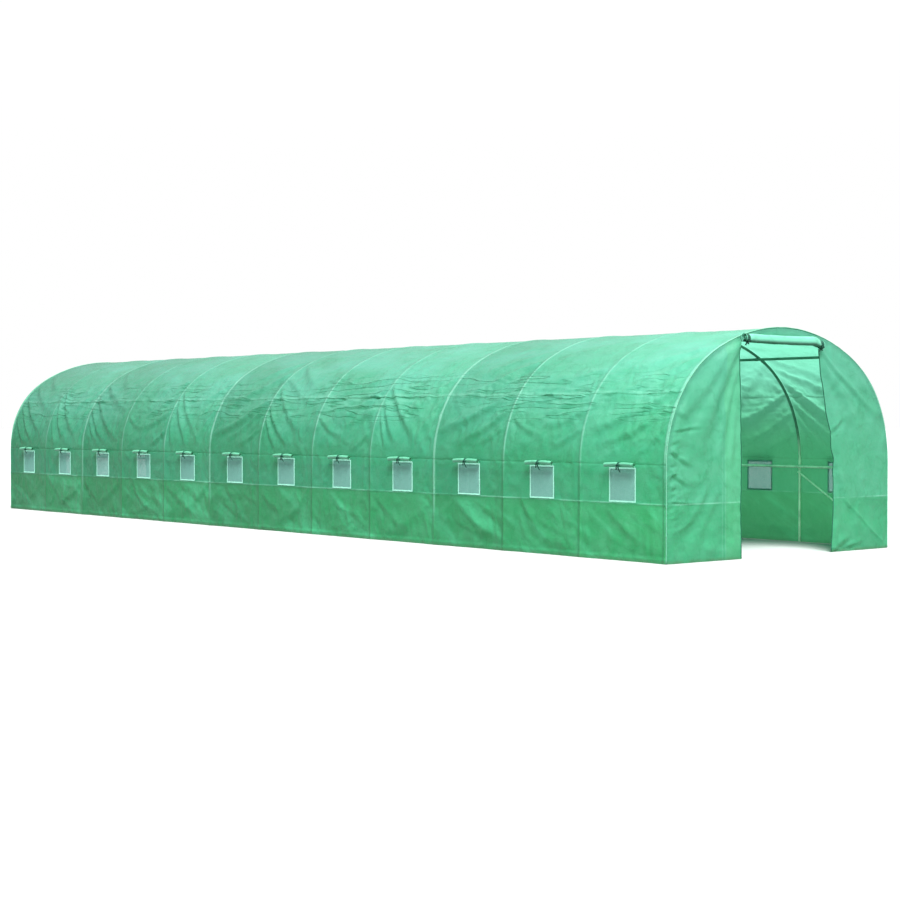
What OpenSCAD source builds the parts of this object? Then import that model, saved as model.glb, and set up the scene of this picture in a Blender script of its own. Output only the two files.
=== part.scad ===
// Polytunnel greenhouse: tube hoops and rails under a green woven cover, with a row of
// screened windows along each side and a roll-up door in each gable.
// X runs across the tunnel, Y along it and Z up. The origin lies on the ground below the
// middle of the ridge. Lengths are in millimetres and angles in degrees.

/* [Tunnel] */
// Width over the cover
tunnel_w = 3000; // [2500:50:3600]
// Length over the cover
tunnel_l = 12000; // [8000:100:14400]
// Height over the cover at the ridge
tunnel_h = 2000; // [1650:25:2400]
// Number of bays, each between two hoops
bays = 12; // [6:1:14]
// Height of the upright legs
leg_h = 800; // [650:10:960]
// Half the angle that the flatter crown of the arch spans
crown_half = 28; // [23:1:34]

/* [Frame] */
// Diameter of the hoop and rail tubes
tube_d = 25; // [20:1:30]
// Diameter of the four corner braces
brace_d = 19; // [15:1:23]
// Height of the centre line of the side rails
side_rail_z = 735; // [560:5:745]
// Height of the lower end of a corner brace
brace_foot_z = 60; // [30:5:90]
// Distance from a side rail down to the upper end of a brace
brace_drop = 50; // [40:5:80]
// Angle between a purlin and the joint below it
purlin_lead = 2; // [1.6:0.1:3]
// Length of the widened socket at the top of a leg or a side arc
socket_l = 48; // [30:1:60]
// Wall of a socket beyond the tube
socket_t = 2; // [1:0.5:3]
// Wall of a rail clip
clip_t = 2; // [1:0.5:3]

/* [Cover] */
// Thickness of the cover
cover_t = 4; // [3:0.5:6]
// Number of strips over one side arc
flank_strips = 3; // [3:1:3]
// Number of strips over half the crown
crown_strips = 2; // [2:1:2]

/* [Windows] */
// Width of a window
window_w = 300; // [220:5:380]
// Height of a window
window_h = 280; // [200:5:300]
// Height of the sill above the ground
window_sill = 500; // [400:5:500]
// Thickness of the insect screen
screen_t = 2; // [1:0.5:3]
// Diameter of the rolled window flap
flap_d = 44; // [30:1:55]
// Length of the rolled window flap
flap_l = 340; // [300:5:420]
// Distance from the window's head up to the flap's centre line
flap_rise = 32; // [28:1:45]

/* [Doors] */
// Width of the doorway
door_w = 1200; // [900:10:1300]
// Height of the header between the doorway and the ridge
header_h = 160; // [140:5:240]
// Diameter of the rolled door
door_roll_d = 86; // [60:2:100]
// Length of the rolled door
door_roll_l = 1120; // [800:10:1180]
// Distance from the middle to each outer door tie
door_tie_x = 430; // [250:10:500]

/* [Fit] */
// Clearance between pieces that rest on each other
fit_gap = 0.3; // [0.2:0.05:0.4]
// Thickness of the tie straps
tie_t = 1.5; // [1:0.25:2]
// Width of the tie straps
tie_w = 25; // [15:1:35]

/* [Hidden] */
$fn = 96;

LEFT = -1;
RIGHT = 1;
FRONT = -1;
BACK = 1;

GREEN = [0.42, 0.78, 0.60];
PALE_GREEN = [0.72, 0.92, 0.82];
SCREEN = [0.55, 0.70, 0.63];
ZINC = [0.62, 0.66, 0.66];
STRAP = [0.10, 0.22, 0.18];

// The arch over the cover has three arcs that run into one another without a kink:
// a side arc on each leg, and the flatter crown between them.
half_w = tunnel_w / 2;
arch_rise = tunnel_h - leg_h;
radius_step = (half_w - arch_rise) / (cos(crown_half) + sin(crown_half) - 1);
side_r = half_w - radius_step * sin(crown_half);
crown_r = side_r + radius_step;
side_x = half_w - side_r;
crown_z = tunnel_h - crown_r;
side_span = 90 - crown_half;

// Depths below the outer skin of the cover. Sockets lie closest to the cover,
// rails run inside the hoops, and a clip fills the gap between rail and hoop.
tube_r = tube_d / 2;
socket_r = tube_r + socket_t;
hoop_depth = cover_t + fit_gap + socket_r;
rail_depth = hoop_depth + tube_d + clip_t + 2 * fit_gap;
brace_depth = hoop_depth + tube_r + fit_gap + brace_d / 2;

// Hoops along the tunnel. The end hoops stand just inside the gables.
end_hoop_y = tunnel_l / 2 - hoop_depth;
bay_l = 2 * end_hoop_y / bays;
rail_l = 2 * (end_hoop_y + tube_r);
clip_l = 2 * socket_r;
door_h = tunnel_h - header_h;
roll_offset = 2 * fit_gap + tie_t;

function hoop_y(i) = -end_hoop_y + i * bay_l;
function window_y(i) = hoop_y(i) + bay_l / 2;

// Puts a piece that is drawn for the right on the side that is asked for.
module on_side(side) {
    if (side == LEFT) mirror([1, 0, 0]) children();
    else children();
}

// Puts a piece that is drawn for the front gable on the end that is asked for.
module at_end(end) {
    if (end == BACK) mirror([0, 1, 0]) children();
    else children();
}

// One copy at each hoop.
module along_hoops() {
    for (i = [0:bays]) translate([0, hoop_y(i), 0]) children();
}

// One copy in the middle of each bay.
module along_bays() {
    for (i = [0:bays - 1]) translate([0, window_y(i), 0]) children();
}

// Stands an outline drawn in X and Z upright, and centres its depth on Y.
module upright(depth) {
    translate([0, depth / 2, 0]) rotate([90, 0, 0]) linear_extrude(depth) children();
}

// Turns an arc drawn flat about Z so that it stands across the tunnel, about a centre
// at height z, with its angle measured up from +X.
module across(x, z, from) {
    translate([x, 0, z]) rotate([90, 0, 0]) rotate([0, 0, from]) children();
}

// A bent tube: radius of its centre line, radius of the tube, and the angle it spans.
module bent_tube(r, tube, span) {
    rotate_extrude(angle = span) translate([r, 0]) circle(tube);
}

// A tube along Y.
module long_tube(x, z, r, length) {
    translate([x, 0, z]) rotate([90, 0, 0]) cylinder(r = r, h = length, center = true);
}

// A ring round a tube that runs along Z.
module ring(inner, wall, length) {
    rotate_extrude() translate([inner, -length / 2]) square([wall, length]);
}

// A flat sector of a disc, from one angle to another.
module sector(r, from, to) {
    reach = 2 * r;
    intersection() {
        circle(r, $fn = 720);
        polygon([
            [0, 0],
            [reach * cos(from), reach * sin(from)],
            [reach * cos(to), reach * sin(to)]
        ]);
    }
}

// ---- Frame ----

// One leg with a socket that takes the side arc. The tube ends inside the socket.
module leg() {
    translate([half_w - hoop_depth, 0, 0]) {
        cylinder(r = tube_r, h = leg_h - socket_l / 2);
        translate([0, 0, leg_h - socket_l]) cylinder(r = socket_r, h = socket_l);
    }
}

module legs(side) {
    color(ZINC) on_side(side) along_hoops() leg();
}

// One side arc, from the leg to the crown, with a socket at its upper end.
module side_arc() {
    r = side_r - hoop_depth;
    socket_span = socket_l / r * 180 / PI;
    across(side_x, leg_h, 0) bent_tube(r, tube_r, side_span - socket_span / 2);
    across(side_x, leg_h, side_span - socket_span) bent_tube(r, socket_r, socket_span);
}

module side_arcs(side) {
    color(ZINC) on_side(side) along_hoops() side_arc();
}

// Half of the crown, from the side arc to the ridge.
module crown_arcs(side) {
    color(ZINC) on_side(side) along_hoops()
        across(0, crown_z, side_span) bent_tube(crown_r - hoop_depth, tube_r, crown_half);
}

// Centres of the rails, on the right where they come in pairs.
rail_x = half_w - rail_depth;
purlin_tilt = crown_half - purlin_lead;
purlin_x = (crown_r - rail_depth) * sin(purlin_tilt);
purlin_z = crown_z + (crown_r - rail_depth) * cos(purlin_tilt);
ridge_z = tunnel_h - rail_depth;

module ridge_rail() {
    color(ZINC) long_tube(0, ridge_z, tube_r, rail_l);
}

module purlin(side) {
    color(ZINC) on_side(side) long_tube(purlin_x, purlin_z, tube_r, rail_l);
}

module side_rail(side) {
    color(ZINC) on_side(side) long_tube(rail_x, side_rail_z, tube_r, rail_l);
}

// A brace from the foot of an end hoop up to the next hoop, just below the side rail.
module corner_brace() {
    rise = side_rail_z - brace_drop - brace_foot_z;
    tilt = atan2(bay_l, rise);
    translate([half_w - brace_depth, -end_hoop_y, brace_foot_z])
        rotate([-tilt, 0, 0]) cylinder(r = brace_d / 2, h = norm([bay_l, rise]));
}

module corner_braces() {
    color(ZINC) for (side = [LEFT, RIGHT], end = [FRONT, BACK])
        on_side(side) at_end(end) corner_brace();
}

// A clip round a rail, in the gap between the rail and each hoop.
module clip_row(x, z) {
    along_hoops() translate([x, 0, z]) rotate([90, 0, 0])
        ring(tube_r + fit_gap, clip_t, clip_l);
}

module rail_clips() {
    color(ZINC) {
        clip_row(0, ridge_z);
        for (side = [LEFT, RIGHT]) on_side(side) {
            clip_row(rail_x, side_rail_z);
            clip_row(purlin_x, purlin_z);
        }
    }
}

// ---- Cover ----

// A lengthwise strip of the cover, bent about a centre at x and z.
module cover_strip(x, z, r, from, span) {
    across(x, z, from) translate([0, 0, -tunnel_l / 2]) rotate_extrude(angle = span)
        translate([r - cover_t, 0]) square([cover_t, tunnel_l]);
}

// The upright wall of the cover, with its windows cut through.
module cover_wall(side) {
    color(GREEN) on_side(side) difference() {
        translate([half_w - cover_t, -tunnel_l / 2, 0]) cube([cover_t, tunnel_l, leg_h]);
        along_bays() translate([half_w - 2 * cover_t, -window_w / 2, window_sill])
            cube([3 * cover_t, window_w, window_h]);
    }
}

// Strips over the side arc, counted upwards from 0.
module cover_flank(side, strip) {
    span = side_span / flank_strips;
    color(GREEN) on_side(side) cover_strip(side_x, leg_h, side_r, strip * span, span);
}

// Strips over half the crown, counted upwards from 0.
module cover_crown(side, strip) {
    span = crown_half / crown_strips;
    color(GREEN) on_side(side)
        cover_strip(0, crown_z, crown_r, side_span + strip * span, span);
}

// ---- Gables ----

// Outline of the tunnel, a given depth inside its skin. Neighbouring sectors lap by a
// degree, so that they join up.
module arch_outline(depth) {
    lap = 1;
    intersection() {
        translate([-half_w, 0]) square([tunnel_w, tunnel_h]);
        union() {
            translate([depth - half_w, 0]) square([tunnel_w - 2 * depth, leg_h]);
            translate([0, crown_z]) sector(crown_r - depth, side_span, 180 - side_span);
            for (side = [LEFT, RIGHT]) on_side(side) translate([side_x, leg_h])
                sector(side_r - depth, -lap, side_span + lap);
        }
    }
}

// Gives a flat gable outline the thickness of the cover, in the plane of the end.
module gable_sheet(end) {
    at_end(end) translate([0, (cover_t - tunnel_l) / 2, 0]) upright(cover_t) children();
}

// The part of a gable beside its doorway.
module gable_panel(end, side) {
    color(GREEN) gable_sheet(end) intersection() {
        arch_outline(cover_t + fit_gap);
        on_side(side) translate([door_w / 2, 0]) square([half_w, tunnel_h]);
    }
}

// The part of a gable above its doorway.
module gable_header(end) {
    color(GREEN) gable_sheet(end) intersection() {
        arch_outline(cover_t + fit_gap);
        translate([-door_w / 2, door_h]) square([door_w, header_h]);
    }
}

door_roll_y = -tunnel_l / 2 - roll_offset - door_roll_d / 2;
door_roll_z = door_h + door_roll_d / 2;

// Places a piece drawn along Z on the centre line of the rolled door.
module on_door_roll(end, x) {
    at_end(end) translate([x, door_roll_y, door_roll_z]) rotate([0, 90, 0]) children();
}

// The door, rolled up against the header.
module door_roll(end) {
    color(PALE_GREEN) on_door_roll(end, 0)
        cylinder(d = door_roll_d, h = door_roll_l, center = true);
}

// Straps that hold the rolled door up.
module door_ties(end) {
    color(STRAP) for (x = [-door_tie_x, 0, door_tie_x])
        on_door_roll(end, x) ring(door_roll_d / 2 + fit_gap, tie_t, tie_w);
}

// ---- Windows ----

flap_x = half_w + roll_offset + flap_d / 2;
flap_z = window_sill + window_h + flap_rise;

// Insect screens that fill the windows.
module window_screens(side) {
    w = window_w - 2 * fit_gap;
    h = window_h - 2 * fit_gap;
    color(SCREEN) on_side(side) along_bays()
        translate([half_w - (cover_t + screen_t) / 2, -w / 2, window_sill + fit_gap])
            cube([screen_t, w, h]);
}

// Places a piece drawn along Z on the centre line of each rolled window flap.
module on_flaps(side) {
    on_side(side) along_bays() translate([flap_x, 0, flap_z]) rotate([90, 0, 0]) children();
}

// Window flaps, rolled up above the windows.
module window_flaps(side) {
    color(PALE_GREEN) on_flaps(side) cylinder(d = flap_d, h = flap_l, center = true);
}

// A strap round the middle of each rolled flap.
module window_ties(side) {
    color(STRAP) on_flaps(side) ring(flap_d / 2 + fit_gap, tie_t, tie_w);
}

legs(LEFT);  // legs_left
legs(RIGHT);  // legs_right
side_arcs(LEFT);  // side_arcs_left
side_arcs(RIGHT);  // side_arcs_right
crown_arcs(LEFT);  // crown_arcs_left
crown_arcs(RIGHT);  // crown_arcs_right
ridge_rail();
purlin(LEFT);  // left_purlin
purlin(RIGHT);  // right_purlin
side_rail(LEFT);  // left_side_rail
side_rail(RIGHT);  // right_side_rail
corner_braces();
rail_clips();
cover_wall(LEFT);  // cover_left_wall
cover_flank(LEFT, 0);  // cover_left_eave
cover_flank(LEFT, 1);  // cover_left_shoulder
cover_flank(LEFT, 2);  // cover_left_haunch
cover_crown(LEFT, 0);  // cover_left_roof
cover_crown(LEFT, 1);  // cover_left_ridge
cover_wall(RIGHT);  // cover_right_wall
cover_flank(RIGHT, 0);  // cover_right_eave
cover_flank(RIGHT, 1);  // cover_right_shoulder
cover_flank(RIGHT, 2);  // cover_right_haunch
cover_crown(RIGHT, 0);  // cover_right_roof
cover_crown(RIGHT, 1);  // cover_right_ridge
gable_panel(FRONT, LEFT);  // front_gable_left
gable_panel(FRONT, RIGHT);  // front_gable_right
gable_header(FRONT);  // front_header
door_roll(FRONT);  // front_door_roll
door_ties(FRONT);  // front_door_ties
gable_panel(BACK, LEFT);  // back_gable_left
gable_panel(BACK, RIGHT);  // back_gable_right
gable_header(BACK);  // back_header
door_roll(BACK);  // back_door_roll
door_ties(BACK);  // back_door_ties
window_screens(LEFT);  // left_window_screens
window_screens(RIGHT);  // right_window_screens
window_flaps(LEFT);  // left_window_flaps
window_flaps(RIGHT);  // right_window_flaps
window_ties(LEFT);  // left_window_ties
window_ties(RIGHT);  // right_window_ties
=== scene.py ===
import logging
import math
from dataclasses import dataclass, replace
from enum import Enum
from typing import Callable, ClassVar, Iterable, Sequence

import bpy
import numpy as np
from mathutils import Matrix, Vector

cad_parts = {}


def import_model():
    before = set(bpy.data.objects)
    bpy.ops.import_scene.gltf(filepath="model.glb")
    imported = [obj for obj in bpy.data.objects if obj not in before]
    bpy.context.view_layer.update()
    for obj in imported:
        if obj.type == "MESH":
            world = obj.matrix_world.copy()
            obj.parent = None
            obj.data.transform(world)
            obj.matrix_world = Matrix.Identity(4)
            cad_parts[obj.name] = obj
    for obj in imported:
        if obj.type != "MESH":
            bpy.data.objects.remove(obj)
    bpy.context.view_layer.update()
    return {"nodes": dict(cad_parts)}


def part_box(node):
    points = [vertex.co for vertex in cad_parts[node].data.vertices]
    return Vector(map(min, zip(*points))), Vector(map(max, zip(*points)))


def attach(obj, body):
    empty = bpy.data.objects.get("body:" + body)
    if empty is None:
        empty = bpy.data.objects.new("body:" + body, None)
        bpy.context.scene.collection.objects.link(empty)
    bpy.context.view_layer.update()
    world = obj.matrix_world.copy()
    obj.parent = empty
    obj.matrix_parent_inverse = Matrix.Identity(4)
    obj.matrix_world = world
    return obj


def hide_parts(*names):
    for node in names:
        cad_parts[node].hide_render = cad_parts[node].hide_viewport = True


LOG = logging.getLogger("polytunnel")
BODY = "root"
Array = np.ndarray
BAYS = 12
Colour = tuple[float, float, float]
Place = tuple[float, float, float]
Socket = bpy.types.NodeSocket


# ---------------------------------------------------------------------------
# Smooth noise and curves
# ---------------------------------------------------------------------------

def smooth_step(low: float, high: float, value: Array) -> Array:
    """Rises smoothly from 0 at low to 1 at high.

    Args:
        low: The value at which the step starts.
        high: The value at which the step ends, above or below low.
        value: Where to evaluate the step.

    Returns:
        The step, from 0 to 1.
    """
    t = np.clip((np.asarray(value, float) - low) / (high - low), 0.0, 1.0)
    return t * t * (3.0 - 2.0 * t)


def bell(value: Array, centre: float, width: float) -> Array:
    """A smooth bump of height 1 around centre, with the given half width.

    Args:
        value: Where to evaluate the bump.
        centre: The value at its top.
        width: Its half width.

    Returns:
        The bump, from 0 to 1.
    """
    return np.exp(-(((np.asarray(value, float) - centre) / width) ** 2))


@dataclass(frozen=True)
class Noise:
    """Seeded gradient noise on a plane, about -0.7 to 0.7."""

    seed: int

    def __call__(self, x: Array, y: Array) -> Array:
        """Evaluates the noise.

        Args:
            x: First coordinate, in cells of the noise.
            y: Second coordinate, in cells of the noise.

        Returns:
            The noise at each point.
        """
        rng = np.random.default_rng(self.seed)
        order = rng.permutation(256)
        angle = rng.uniform(0.0, 2.0 * math.pi, 256)
        x, y = np.broadcast_arrays(np.asarray(x, float), np.asarray(y, float))
        x0, y0 = np.floor(x).astype(int), np.floor(y).astype(int)
        fx, fy = x - x0, y - y0

        def corner(i: int, j: int) -> Array:
            """The slope of one lattice corner, taken to each point."""
            turn = angle[order[(order[(x0 + i) % 256] + y0 + j) % 256]]
            return np.cos(turn) * (fx - i) + np.sin(turn) * (fy - j)

        wx, wy = smooth_step(0, 1, fx), smooth_step(0, 1, fy)
        low = corner(0, 0) * (1 - wx) + corner(1, 0) * wx
        high = corner(0, 1) * (1 - wx) + corner(1, 1) * wx
        return low * (1 - wy) + high * wy

    def ridges(self, x: Array, y: Array) -> Array:
        """Sharp crests between soft hollows, from 0 to 1."""
        return np.clip(1.0 - 2.2 * np.abs(self(x, y)), 0.0, 1.0) ** 1.6


def graded(marks: Iterable[float], spacing: float) -> Array:
    """Fills the gaps between marks with even steps.

    Args:
        marks: Values that must be in the result.
        spacing: The longest step allowed.

    Returns:
        A rising array that holds every mark.
    """
    found = np.unique(np.round(np.array(list(marks), float), 6))
    steps = [
        np.linspace(a, b, max(1, math.ceil((b - a) / spacing)) + 1)[:-1]
        for a, b in zip(found, found[1:])
    ]
    return np.concatenate([*steps, found[-1:]])


# ---------------------------------------------------------------------------
# The tunnel's shape, read from the frame
# ---------------------------------------------------------------------------

@dataclass(frozen=True)
class ArchSection:
    """The outer skin in section: two legs, two side arcs and a flatter crown."""

    half_w: float
    leg_h: float
    height: float
    crown_half: float = math.radians(28.0)

    @property
    def step(self) -> float:
        """How much larger the crown's radius is than the side arcs'."""
        spare = math.cos(self.crown_half) + math.sin(self.crown_half) - 1.0
        return (self.half_w - (self.height - self.leg_h)) / spare

    @property
    def side_r(self) -> float:
        """Radius of the side arcs."""
        return self.half_w - self.step * math.sin(self.crown_half)

    @property
    def crown_r(self) -> float:
        """Radius of the crown."""
        return self.side_r + self.step

    @property
    def arc_l(self) -> float:
        """Length of a side arc."""
        return self.side_r * (math.pi / 2 - self.crown_half)

    @property
    def half_l(self) -> float:
        """Length from a foot to the ridge."""
        return self.leg_h + self.arc_l + self.crown_r * self.crown_half

    def locate(self, s: Array) -> tuple[Array, Array, Array, Array]:
        """Finds points on the skin.

        Args:
            s: Lengths along the skin, from the left foot over the ridge to the right foot.

        Returns:
            X and Z of each point, and X and Z of the outward normal there.
        """
        s = np.asarray(s, float)
        side = np.where(s < self.half_l, -1.0, 1.0)
        up = np.minimum(s, 2 * self.half_l - s)
        turn = np.clip((up - self.leg_h) / self.side_r, 0.0, math.pi / 2 - self.crown_half)
        past = np.maximum(up - self.leg_h - self.arc_l, 0.0) / self.crown_r
        angle = turn + past
        on_crown = past > 0
        radius = np.where(on_crown, self.crown_r, self.side_r)
        centre_x = np.where(on_crown, 0.0, self.half_w - self.side_r)
        centre_z = np.where(on_crown, self.height - self.crown_r, self.leg_h)
        x = centre_x + radius * np.cos(angle)
        z = centre_z + radius * np.sin(angle) + np.minimum(up - self.leg_h, 0.0)
        return side * x, z, side * np.cos(angle), np.sin(angle)

    def top_at(self, x: Array) -> Array:
        """Height of the skin over points across the tunnel.

        Args:
            x: Places across the tunnel, from its middle.

        Returns:
            The heights.
        """
        x = np.minimum(np.abs(np.asarray(x, float)), self.half_w)
        crown = self.height - self.crown_r + np.sqrt(np.maximum(self.crown_r**2 - x**2, 0))
        reach = np.maximum(x - (self.half_w - self.side_r), 0.0)
        side = self.leg_h + np.sqrt(np.maximum(self.side_r**2 - reach**2, 0.0))
        return np.where(x < self.crown_r * math.sin(self.crown_half), crown, side)


@dataclass(frozen=True)
class Tunnel:
    """Sizes and places that the looks share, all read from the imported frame."""

    section: ArchSection
    length: float
    hoops: tuple[float, ...]
    sill: float
    head: float
    window_w: float
    flap_d: float
    flap_l: float
    flap_z: float
    door_h: float
    door_w: float
    roll_d: float
    roll_l: float
    roll_y: float
    roll_z: float

    @classmethod
    def from_frame(cls) -> "Tunnel":
        """Reads the sizes from the boxes of the frame's nodes.

        Returns:
            The tunnel's sizes.
        """
        wall_low, wall_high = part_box("cover_right_wall")
        ridge_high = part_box("cover_right_ridge")[1]
        leg_low, leg_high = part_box("legs_right")
        socket_r = (leg_high.x - leg_low.x) / 2
        end = leg_high.y - socket_r
        hoops = tuple(-end + 2 * end * i / BAYS for i in range(BAYS + 1))
        screen_low, screen_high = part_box("right_window_screens")
        flap_low, flap_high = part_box("right_window_flaps")
        header_low, header_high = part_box("front_header")
        roll_low, roll_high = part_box("front_door_roll")
        bay = hoops[1] - hoops[0]
        return cls(
            section=ArchSection(wall_high.x, wall_high.z, ridge_high.z),
            length=wall_high.y - wall_low.y,
            hoops=hoops,
            sill=screen_low.z,
            head=screen_high.z,
            window_w=screen_high.y - screen_low.y - (BAYS - 1) * bay,
            flap_d=flap_high.z - flap_low.z,
            flap_l=flap_high.y - flap_low.y - (BAYS - 1) * bay,
            flap_z=(flap_high.z + flap_low.z) / 2,
            door_h=header_low.z,
            door_w=header_high.x - header_low.x,
            roll_d=roll_high.z - roll_low.z,
            roll_l=roll_high.x - roll_low.x,
            roll_y=(roll_high.y + roll_low.y) / 2,
            roll_z=(roll_high.z + roll_low.z) / 2,
        )

    @property
    def bay(self) -> float:
        """Distance from hoop to hoop."""
        return self.hoops[1] - self.hoops[0]

    @property
    def sill_seam(self) -> float:
        """Height of the raised seam just under the windows."""
        return self.sill - 0.014

    @property
    def head_seam(self) -> float:
        """Height of the pressed-in seam just over the windows."""
        return self.head + 0.035

    @property
    def window_ys(self) -> list[float]:
        """Middles of the windows along the tunnel."""
        return [(a + b) / 2 for a, b in zip(self.hoops, self.hoops[1:])]


# ---------------------------------------------------------------------------
# Mesh helpers
# ---------------------------------------------------------------------------

def deselect() -> None:
    """Leaves nothing selected, so that an operator only acts on its own piece."""
    bpy.ops.object.select_all(action="DESELECT")


def activate(piece: bpy.types.Object) -> None:
    """Makes one piece the selected and active object.

    Args:
        piece: The piece.
    """
    deselect()
    piece.select_set(True)
    bpy.context.view_layer.objects.active = piece


def apply_modifier(piece: bpy.types.Object, kind: str, **settings: object) -> None:
    """Adds a modifier to a piece and applies it.

    Args:
        piece: The piece that the modifier shapes.
        kind: The modifier's type.
        **settings: Values of its settings.
    """
    activate(piece)
    modifier = piece.modifiers.new(kind.title(), kind)
    for key, value in settings.items():
        setattr(modifier, key, value)
    bpy.ops.object.modifier_apply(modifier=modifier.name)


def points_of(mesh: bpy.types.Mesh) -> Array:
    """Reads a mesh's points.

    Args:
        mesh: The mesh.

    Returns:
        Its points, one row for each.
    """
    flat = np.empty(len(mesh.vertices) * 3)
    mesh.vertices.foreach_get("co", flat)
    return flat.reshape(-1, 3)


def put_points(mesh: bpy.types.Mesh, points: Array) -> None:
    """Moves a mesh's points to new places, given in rows of any shape."""
    mesh.vertices.foreach_set("co", points.astype(np.float32).ravel())


def face_outwards(piece: bpy.types.Object) -> None:
    """Turns the faces of a closed piece outwards.

    Args:
        piece: The piece.
    """
    activate(piece)
    bpy.ops.object.mode_set(mode="EDIT")
    bpy.ops.mesh.select_all(action="SELECT")
    bpy.ops.mesh.normals_make_consistent(inside=False)
    bpy.ops.object.mode_set(mode="OBJECT")


def make_sheet(name: str, points: Array, uv: Array | None = None) -> bpy.types.Object:
    """Makes one continuous sheet from a grid primitive.

    Args:
        name: The piece's name.
        points: Rows of points, as an array of rows by columns by 3, in metres.
        uv: Rows of UV coordinates of the same shape by 2, or None for a unit square.

    Returns:
        The sheet, smooth shaded, with its face normals along row x column order.
    """
    rows, columns = points.shape[:2]
    deselect()
    bpy.ops.mesh.primitive_grid_add(
        x_subdivisions=columns - 1, y_subdivisions=rows - 1, size=1.0
    )
    piece = bpy.context.active_object
    piece.name = piece.data.name = name
    mesh = piece.data
    flat = points_of(mesh)
    column = np.rint((flat[:, 0] + 0.5) * (columns - 1)).astype(int)
    row = np.rint((flat[:, 1] + 0.5) * (rows - 1)).astype(int)
    put_points(mesh, points[row, column])
    if uv is not None:
        loops = np.empty(len(mesh.loops), int)
        mesh.loops.foreach_get("vertex_index", loops)
        mesh.uv_layers[0].data.foreach_set(
            "uv", uv[row[loops], column[loops]].astype(np.float32).ravel()
        )
    mesh.update()
    bpy.ops.object.shade_smooth()
    return piece


def drop_faces(piece: bpy.types.Object, inside: Callable[[Array], Array]) -> None:
    """Deletes the faces whose middles lie inside a region.

    Args:
        piece: The sheet to cut.
        inside: Takes the faces' middles, as an array of points, and says which go.
    """
    mesh = piece.data
    middles = np.empty(len(mesh.polygons) * 3)
    mesh.polygons.foreach_get("center", middles)
    activate(piece)
    mesh.vertices.foreach_set("select", np.zeros(len(mesh.vertices), bool))
    mesh.edges.foreach_set("select", np.zeros(len(mesh.edges), bool))
    mesh.polygons.foreach_set("select", inside(middles.reshape(-1, 3)))
    bpy.ops.object.mode_set(mode="EDIT")
    bpy.ops.mesh.select_mode(type="FACE")
    bpy.ops.mesh.delete(type="FACE")
    bpy.ops.object.mode_set(mode="OBJECT")


def sweep(
    name: str, path: Array, radius: float | Array, sides: int = 10
) -> bpy.types.Object:
    """Makes a closed round tube along a path.

    Args:
        name: The piece's name.
        path: Points of the centre line.
        radius: Its radius, or one radius for each point.
        sides: How many sides the tube has.

    Returns:
        The tube, with closed ends.
    """
    path = np.asarray(path, float)
    ahead = np.gradient(path, axis=0)
    ahead /= np.linalg.norm(ahead, axis=1)[:, None]
    up = np.tile([0.0, 0.0, 1.0], (len(path), 1))
    up[np.abs(ahead[:, 2]) > 0.9] = [0.0, 1.0, 0.0]
    if np.any(np.abs(ahead[:, 2]) > 0.9):
        up[:] = [0.0, 1.0, 0.0] if np.ptp(path[:, 1]) < 0.02 else [1.0, 0.0, 0.0]
    across = np.cross(ahead, up)
    across /= np.linalg.norm(across, axis=1)[:, None]
    normal = np.cross(across, ahead)
    turn = np.linspace(0, 2 * math.pi, sides + 1)
    size = np.broadcast_to(np.asarray(radius, float), (len(path),))[:, None, None]
    rim = np.cos(turn)[None, :, None] * across[:, None]
    rim = rim + np.sin(turn)[None, :, None] * normal[:, None]
    points = path[:, None] + size * rim
    piece = make_sheet(name, points)
    activate(piece)
    bpy.ops.object.mode_set(mode="EDIT")
    bpy.ops.mesh.select_all(action="SELECT")
    bpy.ops.mesh.remove_doubles(threshold=1e-6)
    bpy.ops.mesh.select_all(action="DESELECT")
    bpy.ops.mesh.select_mode(type="EDGE")
    bpy.ops.mesh.select_non_manifold()
    bpy.ops.mesh.edge_face_add()
    bpy.ops.mesh.select_all(action="SELECT")
    bpy.ops.mesh.normals_make_consistent(inside=False)
    bpy.ops.object.mode_set(mode="OBJECT")
    return piece


def join(name: str, parts: Sequence[bpy.types.Object]) -> bpy.types.Object:
    """Joins pieces into one mesh under a new name.

    Args:
        name: The joined piece's name.
        parts: The pieces, which end as one.

    Returns:
        The joined piece.
    """
    deselect()
    for part in parts:
        part.select_set(True)
    bpy.context.view_layer.objects.active = parts[0]
    if len(parts) > 1:
        bpy.ops.object.join()
    parts[0].name = parts[0].data.name = name
    return parts[0]


def copied(
    piece: bpy.types.Object, name: str, move: Callable[[Array], Array], flip: bool = False
) -> bpy.types.Object:
    """Copies a piece, with a mesh of its own.

    Args:
        piece: The piece to copy.
        name: The copy's name.
        move: Takes the piece's points and returns the copy's.
        flip: Whether the move mirrors the piece, so that its faces have to be turned.

    Returns:
        The copy.
    """
    other = piece.copy()
    other.data = piece.data.copy()
    other.name = other.data.name = name
    bpy.context.scene.collection.objects.link(other)
    mesh = other.data
    put_points(mesh, move(points_of(mesh)))
    if flip:
        mesh.flip_normals()
    mesh.update()
    return other


def dress(
    piece: bpy.types.Object,
    material: bpy.types.Material,
    replaces: Sequence[str] = (),
) -> bpy.types.Object:
    """Gives a piece its finish and fastens it to the frame.

    Args:
        piece: The finished piece.
        material: Its finish.
        replaces: The frame's nodes that it stands for.

    Returns:
        The same piece.
    """
    piece.data.materials.clear()
    piece.data.materials.append(material)
    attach(piece, BODY)
    if replaces:
        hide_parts(*replaces)
    LOG.info("%s: %d faces", piece.name, len(piece.data.polygons))
    return piece


# ---------------------------------------------------------------------------
# Finishes
# ---------------------------------------------------------------------------

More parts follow.
